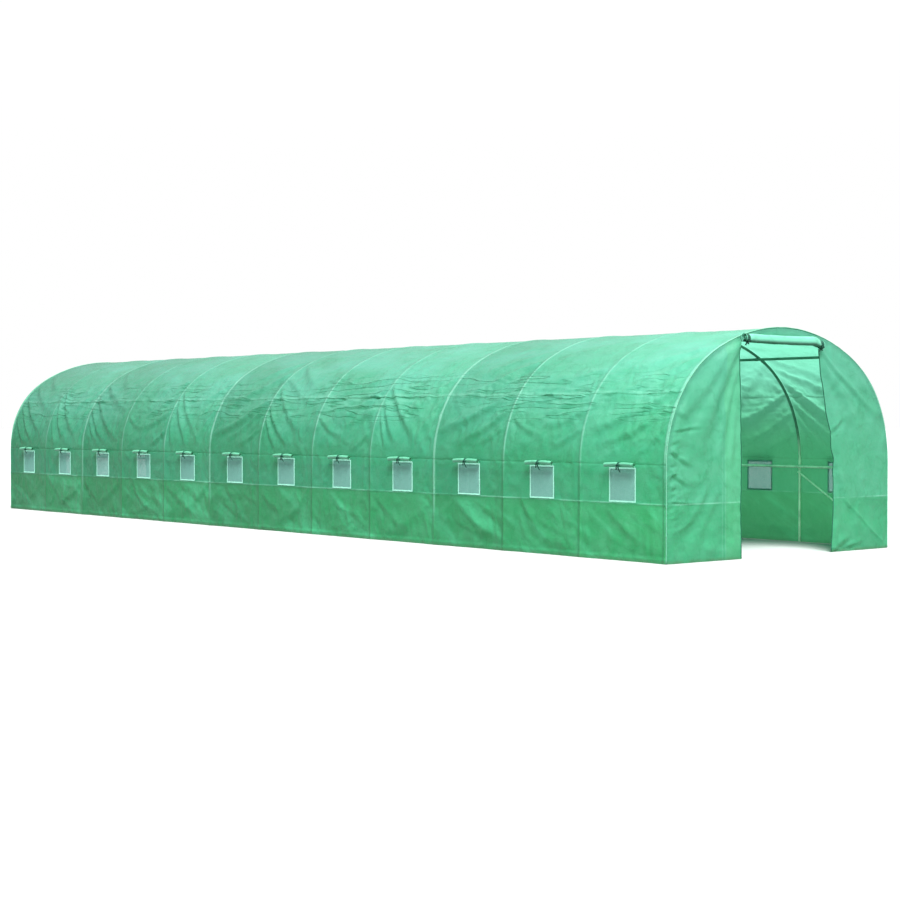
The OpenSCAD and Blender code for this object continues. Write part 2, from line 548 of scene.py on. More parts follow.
class Shader:
    """A material's node tree, with short names for the nodes that the finishes use."""

    def __init__(self, name: str) -> None:
        """Starts an empty material of that name.

        Args:
            name: The material's name.
        """
        self.material = bpy.data.materials.new(name)
        self.material.use_nodes = True
        self.tree = self.material.node_tree
        self.tree.nodes.clear()
        self.output = self.tree.nodes.new("ShaderNodeOutputMaterial")

    def node(self, kind: str, **inputs: object) -> bpy.types.Node:
        """Adds a node.

        Args:
            kind: The node's type, without its common beginning.
            **inputs: Its inputs by name, as values or as sockets to link. An input
                whose name starts with set_ is one of the node's own settings.

        Returns:
            The node.
        """
        made = self.tree.nodes.new("ShaderNode" + kind)
        for key, value in inputs.items():
            if key.startswith("set_"):
                setattr(made, key[4:], value)
        for key, value in inputs.items():
            if key.startswith("set_"):
                continue
            place = int(key[1:]) if key[0] == "i" and key[1:].isdigit() else key.replace("_", " ")
            if isinstance(value, Socket):
                self.tree.links.new(value, made.inputs[place])
            else:
                made.inputs[place].default_value = value
        return made

    def math(self, operation: str, *values: object) -> Socket:
        """One step of arithmetic on values or sockets.

        Args:
            operation: The Math node's operation.
            *values: Its inputs in order.

        Returns:
            The result.
        """
        inputs = {f"i{i}": v for i, v in enumerate(values)}
        return self.node("Math", set_operation=operation, **inputs).outputs[0]

    def line(
        self, value: Socket, at: float, inner: float, outer: float
    ) -> Socket:
        """A soft line: 1 within inner of a value, falling to 0 at outer from it.

        Args:
            value: What the line follows.
            at: The value on the line's middle.
            inner: Half the line's solid width.
            outer: Where it has faded out, from its middle.

        Returns:
            The line's strength.
        """
        away = self.math("ABSOLUTE", self.math("SUBTRACT", value, at))
        return self.fade(away, outer, inner)

    def fade(
        self, value: Socket, low: float, high: float
    ) -> Socket:
        """A smooth rise from 0 at low to 1 at high, where low may be the larger.

        Args:
            value: What the rise follows.
            low: The value at which it is 0.
            high: The value at which it is 1.

        Returns:
            The rise.
        """
        made = self.node("MapRange", set_interpolation_type="SMOOTHSTEP", Value=value)
        made.inputs["From Min"].default_value = min(low, high)
        made.inputs["From Max"].default_value = max(low, high)
        made.inputs["To Min"].default_value = 0.0 if low < high else 1.0
        made.inputs["To Max"].default_value = 1.0 if low < high else 0.0
        return made.outputs["Result"]

    def mix(
        self, share: object, first: object, second: object, blend: str = "MIX"
    ) -> Socket:
        """Mixes two colours by a share.

        Args:
            share: How much of the second, from 0 to 1.
            first: The first colour, or a socket.
            second: The second colour, or a socket.
            blend: How the second goes over the first.

        Returns:
            The mixed colour.
        """
        made = self.tree.nodes.new("ShaderNodeMix")
        made.data_type = "RGBA"
        made.blend_type = blend
        for place, value in ((0, share), (6, first), (7, second)):
            if isinstance(value, Socket):
                self.tree.links.new(value, made.inputs[place])
            else:
                made.inputs[place].default_value = value if place == 0 else (*value, 1.0)
        return made.outputs[2]

    def noise(
        self, vector: Socket, scale: float, detail: float = 3.0, rough: float = 0.5
    ) -> Socket:
        """Noise from 0 to 1 at a scale in cells per metre.

        Args:
            vector: The coordinates.
            scale: Cells in a metre.
            detail: How many finer layers it has.
            rough: How strong the finer layers are.

        Returns:
            The noise.
        """
        return self.node(
            "TexNoise", Vector=vector, Scale=scale, Detail=detail, Roughness=rough
        ).outputs[0]

    def stretched(
        self, vector: Socket, scale: tuple[float, float, float]
    ) -> Socket:
        """A coordinate scaled by a different factor each way.

        Args:
            vector: The coordinates.
            scale: The factor in each direction.

        Returns:
            The scaled coordinates.
        """
        made = self.node("Mapping", Vector=vector)
        made.inputs["Scale"].default_value = scale
        return made.outputs[0]

    def finish(self, surface: Socket) -> bpy.types.Material:
        """Links the surface to the output and returns the material.

        Args:
            surface: The finished shader.

        Returns:
            The material.
        """
        self.tree.links.new(surface, self.output.inputs[0])
        return self.material


@dataclass(frozen=True)
class Spot:
    """What a cover's finish reads at a point of the sheet."""

    uv: Socket
    place: Socket
    along: Socket
    across: Socket
    height: Socket
    lift: Socket
    blotch: Socket
    cloudy: Socket
    breakup: Socket


@dataclass(frozen=True)
class CoverFinish:
    """Green reinforced polyethylene sheet, seen against the light through its scrim.

    Coordinates are the sheet's own UV map, in metres: along the skin or up the gable,
    and along the tunnel or across the gable.
    """

    name: str
    # low is the colour of the painted shade below the sill, high that of the painted light towards the
    # top.
    low: Colour = (0.009, 0.163, 0.056)
    middle: Colour = (0.015, 0.180, 0.098)
    high: Colour = (0.060, 0.256, 0.184)
    pale: Colour = (0.160, 0.400, 0.300)
    # Colour of the painted highlight sweeps low down.
    swept: Colour = (0.045, 0.330, 0.165)
    soil: Colour = (0.040, 0.085, 0.042)
    shade: Colour = (0.006, 0.080, 0.036)
    strip: Colour = (0.085, 0.330, 0.150)
    # See-through colours low and high; the higher one is painted light of the lit inside.
    glow_low: Colour = (0.125, 0.660, 0.275)
    glow_high: Colour = (0.200, 0.620, 0.440)
    # Painted shade: each length of cover is darker by this share towards the back.
    fade: float = 1.0
    see_through: float = 0.45
    crumple: float = 1.0
    scrim_pitch: float = 0.009
    hoop_start: float | None = None
    bay: float = 1.0
    seams: tuple[float, ...] = ()
    creases: tuple[float, ...] = ()
    tucks: tuple[float, ...] = ()
    laps: tuple[float, ...] = ()
    band: float | None = None
    run: tuple[float, float] | None = None
    # Painted light and shade: a length is lighter at its front edge and darker at its back edge.
    shade_ramp: tuple[float, float] = (1.16, 0.80)
    pleats: tuple[float, float] | None = None
    # Share of painted shade in thin creases.
    crease_shade: float = 0.30
    # Share of the painted highlight sweeps.
    highlight_sweeps: float = 0.70
    # Where the rolled door's underside lies, which gets painted shade.
    under: float | None = None

    def shaded_for_length(self, colour: Colour) -> Colour:
        """A colour of this length of sheet, darkened by its own share: painted shade that deepens towards
        the back.
        """
        return tuple(part * self.fade for part in colour)

    def read(self, sh: Shader) -> Spot:
        """Adds the coordinates and clouds that all of the finish reads.

        Args:
            sh: The material's node tree.

        Returns:
            What it reads at a point of the sheet.
        """
        uv = sh.node("UVMap", set_uv_map="UVMap").outputs[0]
        place = sh.node("TexCoord").outputs["Object"]
        parts = sh.node("SeparateXYZ", Vector=uv)
        height = sh.node("SeparateXYZ", Vector=place).outputs[2]
        patch = sh.noise(place, 1.6, 4.0, 0.6)
        wide = sh.stretched(place, (1.0, 0.45, 1.0))
        small = sh.stretched(place, (3.0, 3.0, 3.0))
        return Spot(
            uv=uv,
            place=place,
            along=parts.outputs[0],
            across=parts.outputs[1],
            height=height,
            lift=sh.math("MULTIPLY_ADD", patch, 0.5, sh.math("SUBTRACT", height, 0.25)),
            blotch=sh.fade(sh.noise(wide, 2.6, 5.0, 0.62), 0.36, 0.62),
            cloudy=sh.fade(sh.noise(place, 6.0, 5.0, 0.65), 0.3, 0.75),
            breakup=sh.fade(sh.noise(small, 2.0, 4.0, 0.6), 0.32, 0.6),
        )

    def ground(self, sh: Shader, spot: Spot) -> Socket:
        """The sheet's colour before its lines and seams: painted light towards the top, painted shade
        below the sill, clouds and painted highlight sweeps low down.

        Args:
            sh: The material's node tree.
            spot: What the finish reads.

        Returns:
            The colour.
        """
        low, middle, high, pale = map(self.shaded_for_length, (self.low, self.middle, self.high, self.pale))
        # Painted light: lighter towards the top, where the sky lights the cover.
        tone = sh.mix(sh.fade(spot.lift, 0.75, 1.9), middle, high)
        # Painted shade: darker below the sill, where the lower wall gets less light.
        tone = sh.mix(sh.fade(spot.height, 0.50, 0.465), tone, low)
        tone = sh.mix(sh.math("MULTIPLY", spot.blotch, 0.34), tone, low)
        tone = sh.mix(sh.math("MULTIPLY", spot.cloudy, 0.13), tone, pale)
        # Painted highlights: pale sweeps slanting down over the low wall.
        turned = sh.node("Mapping", Vector=spot.place)
        turned.inputs["Rotation"].default_value = (math.radians(-30), 0.0, 0.0)
        swept = sh.stretched(turned.outputs[0], (1.0, 0.42, 2.1))
        highlight_cloud = sh.fade(sh.noise(swept, 3.0, 3.0, 0.5), 0.48, 0.70)
        highlight_cloud = sh.math("MULTIPLY", highlight_cloud, sh.fade(spot.height, 0.50, 0.42))
        return sh.mix(sh.math("MULTIPLY", highlight_cloud, self.highlight_sweeps), tone, self.shaded_for_length(self.swept))

    def over_tubes(self, sh: Shader, spot: Spot, tone: Socket) -> Socket:
        """Adds the painted highlights along the crease, the hoops and the laps, and the painted shadow
        beside each leg.

        Args:
            sh: The material's node tree.
            spot: What the finish reads.
            tone: The colour so far.

        Returns:
            The colour with them.
        """
        broken = sh.fade(sh.noise(spot.place, 3.3, 2.0, 0.5), 0.36, 0.60)
        broken = sh.math("MULTIPLY", broken, 0.7)
        # Painted highlight along the raised crease under the windows.
        lights = [
            sh.math("MULTIPLY", sh.line(spot.height, at, 0.002, 0.009), broken)
            for at in self.creases
        ]
        if self.hoop_start is not None:
            count = sh.math("DIVIDE", sh.math("SUBTRACT", spot.across, self.hoop_start), self.bay)
            nearest = sh.math("ADD", count, 0.5)
            off = sh.math("SUBTRACT", sh.math("FRACT", nearest), 0.5)
            off = sh.math("MULTIPLY", off, self.bay)
            # Painted highlight where the cloth rides over each hoop.
            hoop = sh.line(off, 0.0, 0.007, 0.017)
            hoop = sh.math("MULTIPLY", hoop, sh.fade(spot.height, 0.50, 1.05))
            number = sh.math("FLOOR", nearest)
            chance = sh.node("TexWhiteNoise", set_noise_dimensions="1D", W=number).outputs["Value"]
            hoop = sh.math("MULTIPLY", hoop, sh.math("MULTIPLY_ADD", chance, 0.35, 0.55))
            hoop = sh.math("MULTIPLY", hoop, sh.math("MULTIPLY_ADD", spot.breakup, 0.5, 0.5))
            # Painted highlight along each lap where two lengths meet.
            for at in self.laps:
                lap = sh.math("MULTIPLY", sh.line(spot.across, at, 0.012, 0.02), 0.90)
                lap = sh.math("MULTIPLY", lap, sh.fade(spot.height, 0.1, 0.6))
                hoop = sh.math("MAXIMUM", hoop, lap)
            lights.append(hoop)
            # Painted shadow beside each leg.
            leg = sh.line(off, 0.018, 0.004, 0.022)
            leg = sh.math("MULTIPLY", leg, sh.fade(spot.height, 0.95, 0.6))
            tone = sh.mix(sh.math("MULTIPLY", leg, 0.45), tone, self.shade)
        if not lights:
            return tone
        light = lights[0]
        for other in lights[1:]:
            light = sh.math("MAXIMUM", light, other)
        return sh.mix(sh.math("MULTIPLY", light, 0.9), tone, self.shaded_for_length(self.pale))

    def sewn(self, sh: Shader, spot: Spot, tone: Socket) -> Socket:
        """Adds the welded seams with their painted shadow and highlight, the tucks with their painted
        shade, the stitched band and the soiled foot.

        Args:
            sh: The material's node tree.
            spot: What the finish reads.
            tone: The colour so far.

        Returns:
            The colour with them.
        """
        pale = self.shaded_for_length(self.pale)
        for at in self.seams:
            # Painted shadow: a dark line under the welded lap's step.
            edge = sh.math("MULTIPLY", sh.line(spot.along, at, 0.002, 0.007), 0.55)
            tone = sh.mix(edge, tone, self.shade)
            # Painted highlight: a pale line on the welded lap just above it.
            weld_highlight = sh.math("MULTIPLY", sh.line(spot.along, at + 0.022, 0.010, 0.015), spot.breakup)
            tone = sh.mix(sh.math("MULTIPLY", weld_highlight, 0.25), tone, pale)
        for at in self.tucks:
            # Painted shade: a dark line in the pressed-in seam over the windows.
            tuck = sh.math("MULTIPLY", sh.line(spot.height, at, 0.002, 0.007), spot.breakup)
            tone = sh.mix(sh.math("MULTIPLY", tuck, 0.6), tone, self.shade)
        if self.band is not None:
            strip = sh.fade(spot.across, self.band + 0.002, self.band - 0.002)
            tone = sh.mix(sh.math("MULTIPLY", strip, 0.22), tone, self.strip)
            for at in (self.band, self.band + 0.035):
                stitch = sh.line(spot.across, at, 0.0015, 0.006)
                stitch = sh.math("MULTIPLY", stitch, sh.fade(spot.height, 1.30, 0.50))
                tone = sh.mix(sh.math("MULTIPLY", stitch, 0.28), tone, pale)
        dirt = sh.math("MULTIPLY_ADD", spot.breakup, 0.5, 0.2)
        dirt = sh.math("MULTIPLY", sh.fade(spot.height, 0.035, 0.008), dirt)
        return sh.mix(dirt, tone, self.soil)

    def pleated(
        self, sh: Shader, spot: Spot, tone: Socket, relief: Socket
    ) -> tuple[Socket, Socket]:
        """Adds the lengthwise pleats of the stretch where the cloth is held, with painted shade in their
        hollows and painted highlights on their crests.

        Args:
            sh: The material's node tree.
            spot: What the finish reads.
            tone: The colour so far.
            relief: The relief so far.

        Returns:
            The colour and the relief with them.
        """
        start, end = self.pleats
        waves = sh.noise(sh.stretched(spot.uv, (12.5, 1.25, 1.0)), 1.0, 1.6, 0.5)
        held = sh.math(
            "MULTIPLY",
            sh.fade(spot.along, start - 0.12, start + 0.06),
            sh.fade(spot.along, end + 0.10, end - 0.06),
        )
        held = sh.math("MULTIPLY", held, sh.fade(sh.noise(spot.place, 1.1, 3.0, 0.6), 0.38, 0.58))
        # Painted shade in the pleats' hollows.
        pleat = sh.math("MULTIPLY", sh.line(waves, 0.47, 0.004, 0.036), held)
        tone = sh.mix(sh.math("MULTIPLY", pleat, 0.44), tone, self.shade)
        # Painted highlights on the pleats' crests.
        crest = sh.math("MULTIPLY", sh.line(waves, 0.54, 0.004, 0.050), held)
        tone = sh.mix(sh.math("MULTIPLY", crest, 0.20), tone, self.shaded_for_length(self.pale))
        return tone, sh.math("MULTIPLY_ADD", pleat, -0.35, relief)

    def shaded_along_length(self, sh: Shader, spot: Spot, tone: Socket) -> Socket:
        """Paints light and shade along a length of cover: lighter towards its front edge and darker
        towards its back.

        Args:
            sh: The material's node tree.
            spot: What the finish reads.
            tone: The colour so far.

        Returns:
            The colour with the change.
        """
        share = sh.node("MapRange", Value=spot.across)
        ends = zip(("From Min", "From Max", "To Min", "To Max"), (*self.run, *self.shade_ramp))
        for socket, value in ends:
            share.inputs[socket].default_value = value
        return sh.mix(1.0, tone, share.outputs["Result"], "MULTIPLY")

    def build(self) -> bpy.types.Material:
        """Builds the material.

        Returns:
            The material.
        """
        sh = Shader(self.name)
        spot = self.read(sh)
        tone = self.over_tubes(sh, spot, self.ground(sh, spot))
        tone = self.sewn(sh, spot, tone)
        turn = 2 * math.pi / self.scrim_pitch
        warp = sh.math("SINE", sh.math("MULTIPLY", spot.along, turn))
        weft = sh.math("SINE", sh.math("MULTIPLY", spot.across, turn))
        scrim = sh.fade(sh.math("MAXIMUM", warp, weft), 0.75, 1.0)
        tone = sh.mix(sh.math("MULTIPLY", scrim, 0.16), tone, self.shaded_for_length(self.pale))
        fine = sh.noise(spot.place, 34.0, 5.0, 0.6)
        crumpled = sh.node(
            "TexNoise", set_noise_type="RIDGED_MULTIFRACTAL", set_normalize=True,
            Vector=sh.stretched(spot.place, (1.0, 0.7, 1.0)), Scale=5.2, Detail=3.0,
            Roughness=0.42, Lacunarity=2.1,
        ).outputs[0]
        relief = sh.math("ADD", sh.math("MULTIPLY", scrim, 0.02), sh.math("MULTIPLY", fine, 0.16))
        relief = sh.math("MULTIPLY_ADD", crumpled, self.crumple, relief)
        # Painted shade in thin creases of the crumpled cloth.
        creased = sh.line(sh.noise(spot.place, 4.4, 3.0, 0.5), 0.5, 0.002, 0.020)
        creased = sh.math("MULTIPLY", creased, spot.blotch)
        tone = sh.mix(sh.math("MULTIPLY", creased, self.crease_shade), tone, self.shade)
        if self.pleats is not None:
            tone, relief = self.pleated(sh, spot, tone, relief)
        bump = sh.node("Bump", Strength=1.0, Distance=0.022, Height=relief).outputs[0]
        gloss = sh.math("MULTIPLY_ADD", spot.cloudy, 0.12, 0.30)
        # Painted shade along the underside of the rolled door.
        if self.under is not None:
            underside_shade = sh.line(spot.along, self.under, 0.012, 0.042)
            tone = sh.mix(sh.math("MULTIPLY", underside_shade, 0.85), tone, self.shade)
        # Painted shade: darker towards the back of each length.
        if self.run is not None:
            tone = self.shaded_along_length(sh, spot, tone)
        sheet = sh.node(
            "BsdfPrincipled", Base_Color=tone, Roughness=gloss, Normal=bump,
            Specular_IOR_Level=0.32,
        ).outputs[0]
        # Painted light: the see-through colour is lighter and bluer towards the top, where the inside is
        # more lit.
        rise = sh.fade(spot.lift, 0.7, 1.7)
        glow = sh.mix(rise, self.shaded_for_length(self.glow_low), self.shaded_for_length(self.glow_high))
        lit = sh.mix(0.62, tone, glow)
        behind = sh.node("BsdfTranslucent", Color=lit, Normal=bump).outputs[0]
        both = sh.node("MixShader", Fac=self.see_through, i1=sheet, i2=behind).outputs[0]
        return sh.finish(both)


@dataclass(frozen=True)
class TubeFinish:
    """Zinc-coated steel tube with soft spangle and dull patches, painted paler low down and darker higher
    up, where it is in shade.
    """

    name: str = "galvanised_tube"
    bright: Colour = (0.07, 0.20, 0.14)
    dull: Colour = (0.03, 0.12, 0.08)
    # Paler colour of the lower tube: painted light, the higher tube being in shade.
    lit_below: Colour = (0.52, 0.74, 0.56)

    def build(self) -> bpy.types.Material:
        """Builds the material.

        Returns:
            The material.
        """
        sh = Shader(self.name)
        place = sh.node("TexCoord").outputs["Object"]
        spangle = sh.node("TexVoronoi", Vector=place, Scale=260.0).outputs["Distance"]
        patch = sh.fade(sh.noise(place, 9.0, 5.0, 0.6), 0.35, 0.7)
        share = sh.math("ADD", sh.math("MULTIPLY", patch, 0.7), sh.math("MULTIPLY", spangle, 0.3))
        tone = sh.mix(share, self.bright, self.dull)
        height = sh.node("SeparateXYZ", Vector=place).outputs[2]
        # Painted light and shade: paler below about 1 m, darker above, where the tube is in shade.
        lit_below_share = sh.math("MULTIPLY", sh.fade(height, 1.15, 0.70), sh.math("MULTIPLY_ADD", patch, -0.4, 1.0))
        tone = sh.mix(lit_below_share, tone, self.lit_below)
        rough = sh.math("MULTIPLY_ADD", patch, 0.2, 0.32)
        bump = sh.node("Bump", Strength=0.15, Distance=0.0006, Height=sh.noise(place, 140.0)).outputs[0]
        steel = sh.node(
            "BsdfPrincipled", Base_Color=tone, Roughness=rough, Normal=bump, Metallic=0.3,
            Specular_IOR_Level=0.3,
        ).outputs[0]
        return sh.finish(steel)


@dataclass(frozen=True)
class WovenFinish:
    """Thick woven trim: tapes, straps and thread."""

    name: str
    colour: Colour
    shade: Colour
    pitch: float = 0.003
    roughness: float = 0.6
    see_through: float = 0.0

    def build(self) -> bpy.types.Material:
        """Builds the material.

        Returns:
            The material.
        """
        sh = Shader(self.name)
        place = sh.node("TexCoord").outputs["Object"]
        parts = sh.node("SeparateXYZ", Vector=place)
        turn = 2 * math.pi / self.pitch
        level = sh.math("ADD", parts.outputs[0], parts.outputs[1])
        one = sh.math("SINE", sh.math("MULTIPLY", level, turn))
        two = sh.math("SINE", sh.math("MULTIPLY", parts.outputs[2], turn))
        weave = sh.math("MULTIPLY_ADD", sh.math("MULTIPLY", one, two), 0.5, 0.5)
        worn = sh.fade(sh.noise(place, 30.0, 4.0, 0.6), 0.35, 0.75)
        share = sh.math("ADD", sh.math("MULTIPLY", weave, 0.4), sh.math("MULTIPLY", worn, 0.5))
        tone = sh.mix(share, self.colour, self.shade)
        bump = sh.node("Bump", Strength=0.5, Distance=0.0008, Height=weave).outputs[0]
        cloth = sh.node(
            "BsdfPrincipled", Base_Color=tone, Roughness=self.roughness, Normal=bump,
            Specular_IOR_Level=0.15,
        ).outputs[0]
        if not self.see_through:
            return sh.finish(cloth)
        behind = sh.node("BsdfTranslucent", Color=tone, Normal=bump).outputs[0]
        both = sh.node("MixShader", Fac=self.see_through, i1=cloth, i2=behind).outputs[0]
        return sh.finish(both)


@dataclass(frozen=True)
class FloorFinish:
    """Pale studio floor."""

    name: str = "studio_floor"
    colour: Colour = (0.25, 0.25, 0.25)

    def build(self) -> bpy.types.Material:
        """Builds the material.

        Returns:
            The material.
        """
        sh = Shader(self.name)
        place = sh.node("TexCoord").outputs["Object"]
        tone = sh.mix(sh.math("MULTIPLY", sh.noise(place, 0.8), 0.05), self.colour, (0.22, 0.22, 0.22))
        return sh.finish(sh.node("BsdfPrincipled", Base_Color=tone, Roughness=0.8).outputs[0])


@dataclass(frozen=True)
class Palette:
    """All finishes, built once."""

    covers: tuple[bpy.types.Material, ...]
    gable: bpy.types.Material
    banded: bpy.types.Material
    roll: bpy.types.Material
    flap: bpy.types.Material
    tube: bpy.types.Material
    thread: bpy.types.Material
    border: bpy.types.Material
    strap: bpy.types.Material
    welt: bpy.types.Material
    zip: bpy.types.Material
    floor: bpy.types.Material

    @classmethod
    def build(cls, tunnel: Tunnel) -> "Palette":
        """Builds every finish for a tunnel.

        Args:
            tunnel: The tunnel, whose hoops and windows the lines follow.

        Returns:
            The finishes.
        """
        section = tunnel.section
        seam = Drape.seam
        joints = Cover.joints
        edges = [tunnel.hoops[i] for i in joints]
        laps = tuple(edges[1:-1])
        # Each length is painted darker than the one in front and shaded along its run: painted shade
        # towards the back.
        covers = tuple(
            CoverFinish(
                f"cover_sheet_{index}",
                hoop_start=tunnel.hoops[0],
                bay=tunnel.bay,
                seams=(seam, 2 * section.half_l - seam),
                creases=(tunnel.sill_seam,),
                tucks=(tunnel.head_seam,),
                laps=laps,
                fade=fade,
                run=(edges[index - 1], edges[index]),
                pleats=(1.24, 1.72),
            ).build()
            for index, fade in enumerate((1.0, 0.90, 0.82, 0.75), start=1)
        )
        # The gables take the cover's painted light and shade, with weaker painted highlight sweeps.
        gables = [
            CoverFinish(
                name,
                low=(0.019, 0.168, 0.084),
                middle=(0.038, 0.204, 0.126),
                high=(0.056, 0.230, 0.158),
                highlight_sweeps=0.25,
                creases=(tunnel.sill_seam,),
                band=band,
            ).build()
            for name, band in (("gable_sheet", None), ("gable_banded_sheet", tunnel.door_w / 2 + 0.18))
        ]
        return cls(
            covers=covers,
            gable=gables[0],
            banded=gables[1],
            # The rolled door has painted shade along its underside.
            roll=CoverFinish(
                "door_roll_sheet", low=(0.06, 0.27, 0.17), middle=(0.07, 0.29, 0.19),
                high=(0.09, 0.32, 0.22), see_through=0.2, under=0.092,
            ).build(),
            flap=CoverFinish(
                "flap_sheet", low=(0.05, 0.24, 0.14), middle=(0.055, 0.245, 0.145),
                high=(0.06, 0.25, 0.15), see_through=0.2,
            ).build(),
            tube=TubeFinish().build(),
            thread=WovenFinish(
                "screen_thread", (0.25, 0.47, 0.43), (0.20, 0.42, 0.38), see_through=0.65
            ).build(),
            border=WovenFinish(
                "window_tape", (0.25, 0.52, 0.42), (0.14, 0.40, 0.29), see_through=0.2
            ).build(),
            strap=WovenFinish("tie_webbing", (0.002, 0.030, 0.018), (0.004, 0.052, 0.032)).build(),
            welt=WovenFinish("corner_welt", (0.07, 0.27, 0.17), (0.08, 0.13, 0.10)).build(),
            zip=WovenFinish("zip_tape", (0.003, 0.045, 0.022), (0.006, 0.070, 0.038)).build(),
            floor=FloorFinish().build(),
        )


# ---------------------------------------------------------------------------
# How the cover lies
# ---------------------------------------------------------------------------

@dataclass(frozen=True)
class Fold:
    """One fold of cloth: a crest along a bowed line, with a hollow on its lower side.

    Both ends are given across and up, in metres. The fold is narrow where it starts and
    spreads towards its end.
    """

    start: tuple[float, float]
    end: tuple[float, float]
    bow: float = 0.0
    width: float = 0.035
    height: float = 0.012
    hollow: float = 0.7

    def relief(self, across: Array, up: Array) -> Array:
        """How far the fold lifts the cloth.

        Args:
            across: Places across the fold's sheet.
            up: Places up the sheet.

        Returns:
            The lift in metres.
        """
        a, b = np.array(self.start), np.array(self.end)
        run = float(np.hypot(*(b - a)))
        along = (b - a) / run
        share = ((across - a[0]) * along[0] + (up - a[1]) * along[1]) / run
        off = (up - a[1]) * abs(along[0]) - (across - a[0]) * along[1] * np.sign(along[0] + 1e-9)
        off = off - self.bow * 4 * share * (1 - share)
        width = self.width * (0.65 + 0.7 * np.clip(share, 0, 1))
        ends = smooth_step(-0.06, 0.14, share) * smooth_step(1.05, 0.62, share)
        crest = np.exp(-np.abs(off / width) ** 1.6)
        below = np.exp(-(((off + 1.55 * width) / (1.1 * width)) ** 2))
        return self.height * ends * (crest - self.hollow * below)


class Lie(Enum):
    """How the cloth of one bay lies between its hoops."""

    DRAGGED = "long folds dragged from the near hoop's shoulder"
    CRINKLED = "garlands and small level crinkles"
    GATHERED = "folds gathered to the far hoop's shoulder"
    FANNED = "folds from both hoops that meet over the window"

    def folds(self) -> tuple[Fold, ...]:
        """The folds of a bay, across in shares of the bay and up in metres.

        Returns:
            The folds.
        """
        return {
            Lie.DRAGGED: (
                Fold((-0.02, 1.52), (1.05, 1.06), -0.05, 0.040, 0.025),
                Fold((-0.02, 1.33), (0.80, 0.92), -0.03, 0.030, 0.019),
                Fold((0.02, 1.90), (1.00, 1.30), -0.05, 0.050, 0.020),
                Fold((0.00, 1.14), (0.52, 0.88), -0.02, 0.022, 0.012),
                Fold((0.12, 2.15), (0.80, 1.72), -0.04, 0.055, 0.013),
                Fold((0.78, 1.47), (1.14, 1.46), 0.00, 0.012, 0.012),
                Fold((0.70, 1.40), (1.02, 1.41), 0.00, 0.011, 0.010),
                Fold((0.72, 0.50), (-0.05, 0.10), -0.10, 0.050, 0.013, 0.35),
                Fold((0.42, 0.42), (-0.20, 0.26), -0.05, 0.032, 0.007, 0.4),
                Fold((0.70, 0.22), (0.10, 0.10), -0.02, 0.030, 0.005),
            ),
            Lie.CRINKLED: (
                Fold((0.02, 1.30), (0.62, 1.14), -0.04, 0.036, 0.015),
                Fold((1.00, 1.26), (0.48, 1.08), -0.03, 0.030, 0.012),
                Fold((0.02, 1.78), (0.98, 1.62), -0.05, 0.060, 0.012),
                Fold((0.00, 1.10), (0.40, 0.90), -0.02, 0.024, 0.013),
                Fold((0.00, 1.62), (0.70, 1.22), -0.03, 0.034, 0.015),
                Fold((0.06, 1.50), (0.46, 1.49), 0.00, 0.012, 0.014),
                Fold((0.52, 1.45), (0.94, 1.48), 0.00, 0.011, 0.012),
                Fold((0.18, 1.39), (0.52, 1.37), 0.00, 0.012, 0.012),
                Fold((0.55, 1.38), (0.86, 1.35), 0.00, 0.010, 0.009),
                Fold((0.78, 0.52), (0.02, 0.10), -0.10, 0.048, 0.013, 0.35),
                Fold((0.60, 0.36), (-0.10, 0.22), -0.04, 0.030, 0.007, 0.4),
                Fold((0.30, 0.20), (0.85, 0.08), -0.03, 0.028, 0.005),
            ),
            Lie.GATHERED: (
                Fold((1.02, 1.62), (0.15, 0.98), -0.05, 0.040, 0.022),
                Fold((1.02, 1.46), (0.42, 0.88), -0.04, 0.032, 0.018),
                Fold((1.02, 1.31), (0.62, 0.86), -0.02, 0.026, 0.015),
                Fold((1.00, 1.82), (0.02, 1.30), -0.06, 0.050, 0.019),
                Fold((0.95, 2.08), (0.20, 1.66), -0.05, 0.060, 0.013),
                Fold((0.85, 1.56), (1.12, 1.55), 0.00, 0.014, 0.015),
                Fold((0.80, 1.48), (1.08, 1.47), 0.00, 0.012, 0.014),
                Fold((0.05, 0.48), (0.72, 0.10), -0.07, 0.050, 0.010),
                Fold((0.95, 0.40), (0.45, 0.18), -0.04, 0.036, 0.007),
            ),
            Lie.FANNED: (
                Fold((1.02, 1.52), (0.52, 0.86), -0.02, 0.034, 0.020),
                Fold((1.02, 1.38), (0.78, 0.84), 0.00, 0.024, 0.015),
                Fold((1.02, 1.68), (0.26, 0.94), -0.03, 0.042, 0.021),
                Fold((-0.02, 1.50), (0.40, 0.92), -0.02, 0.034, 0.018),
                Fold((-0.02, 1.76), (0.62, 1.28), -0.04, 0.050, 0.017),
                Fold((-0.02, 1.30), (0.20, 0.86), 0.00, 0.024, 0.012),
                Fold((0.02, 0.46), (0.85, 0.06), -0.05, 0.048, 0.009),
                Fold((0.98, 0.46), (0.22, 0.08), -0.06, 0.045, 0.008),
            ),
        }[self]


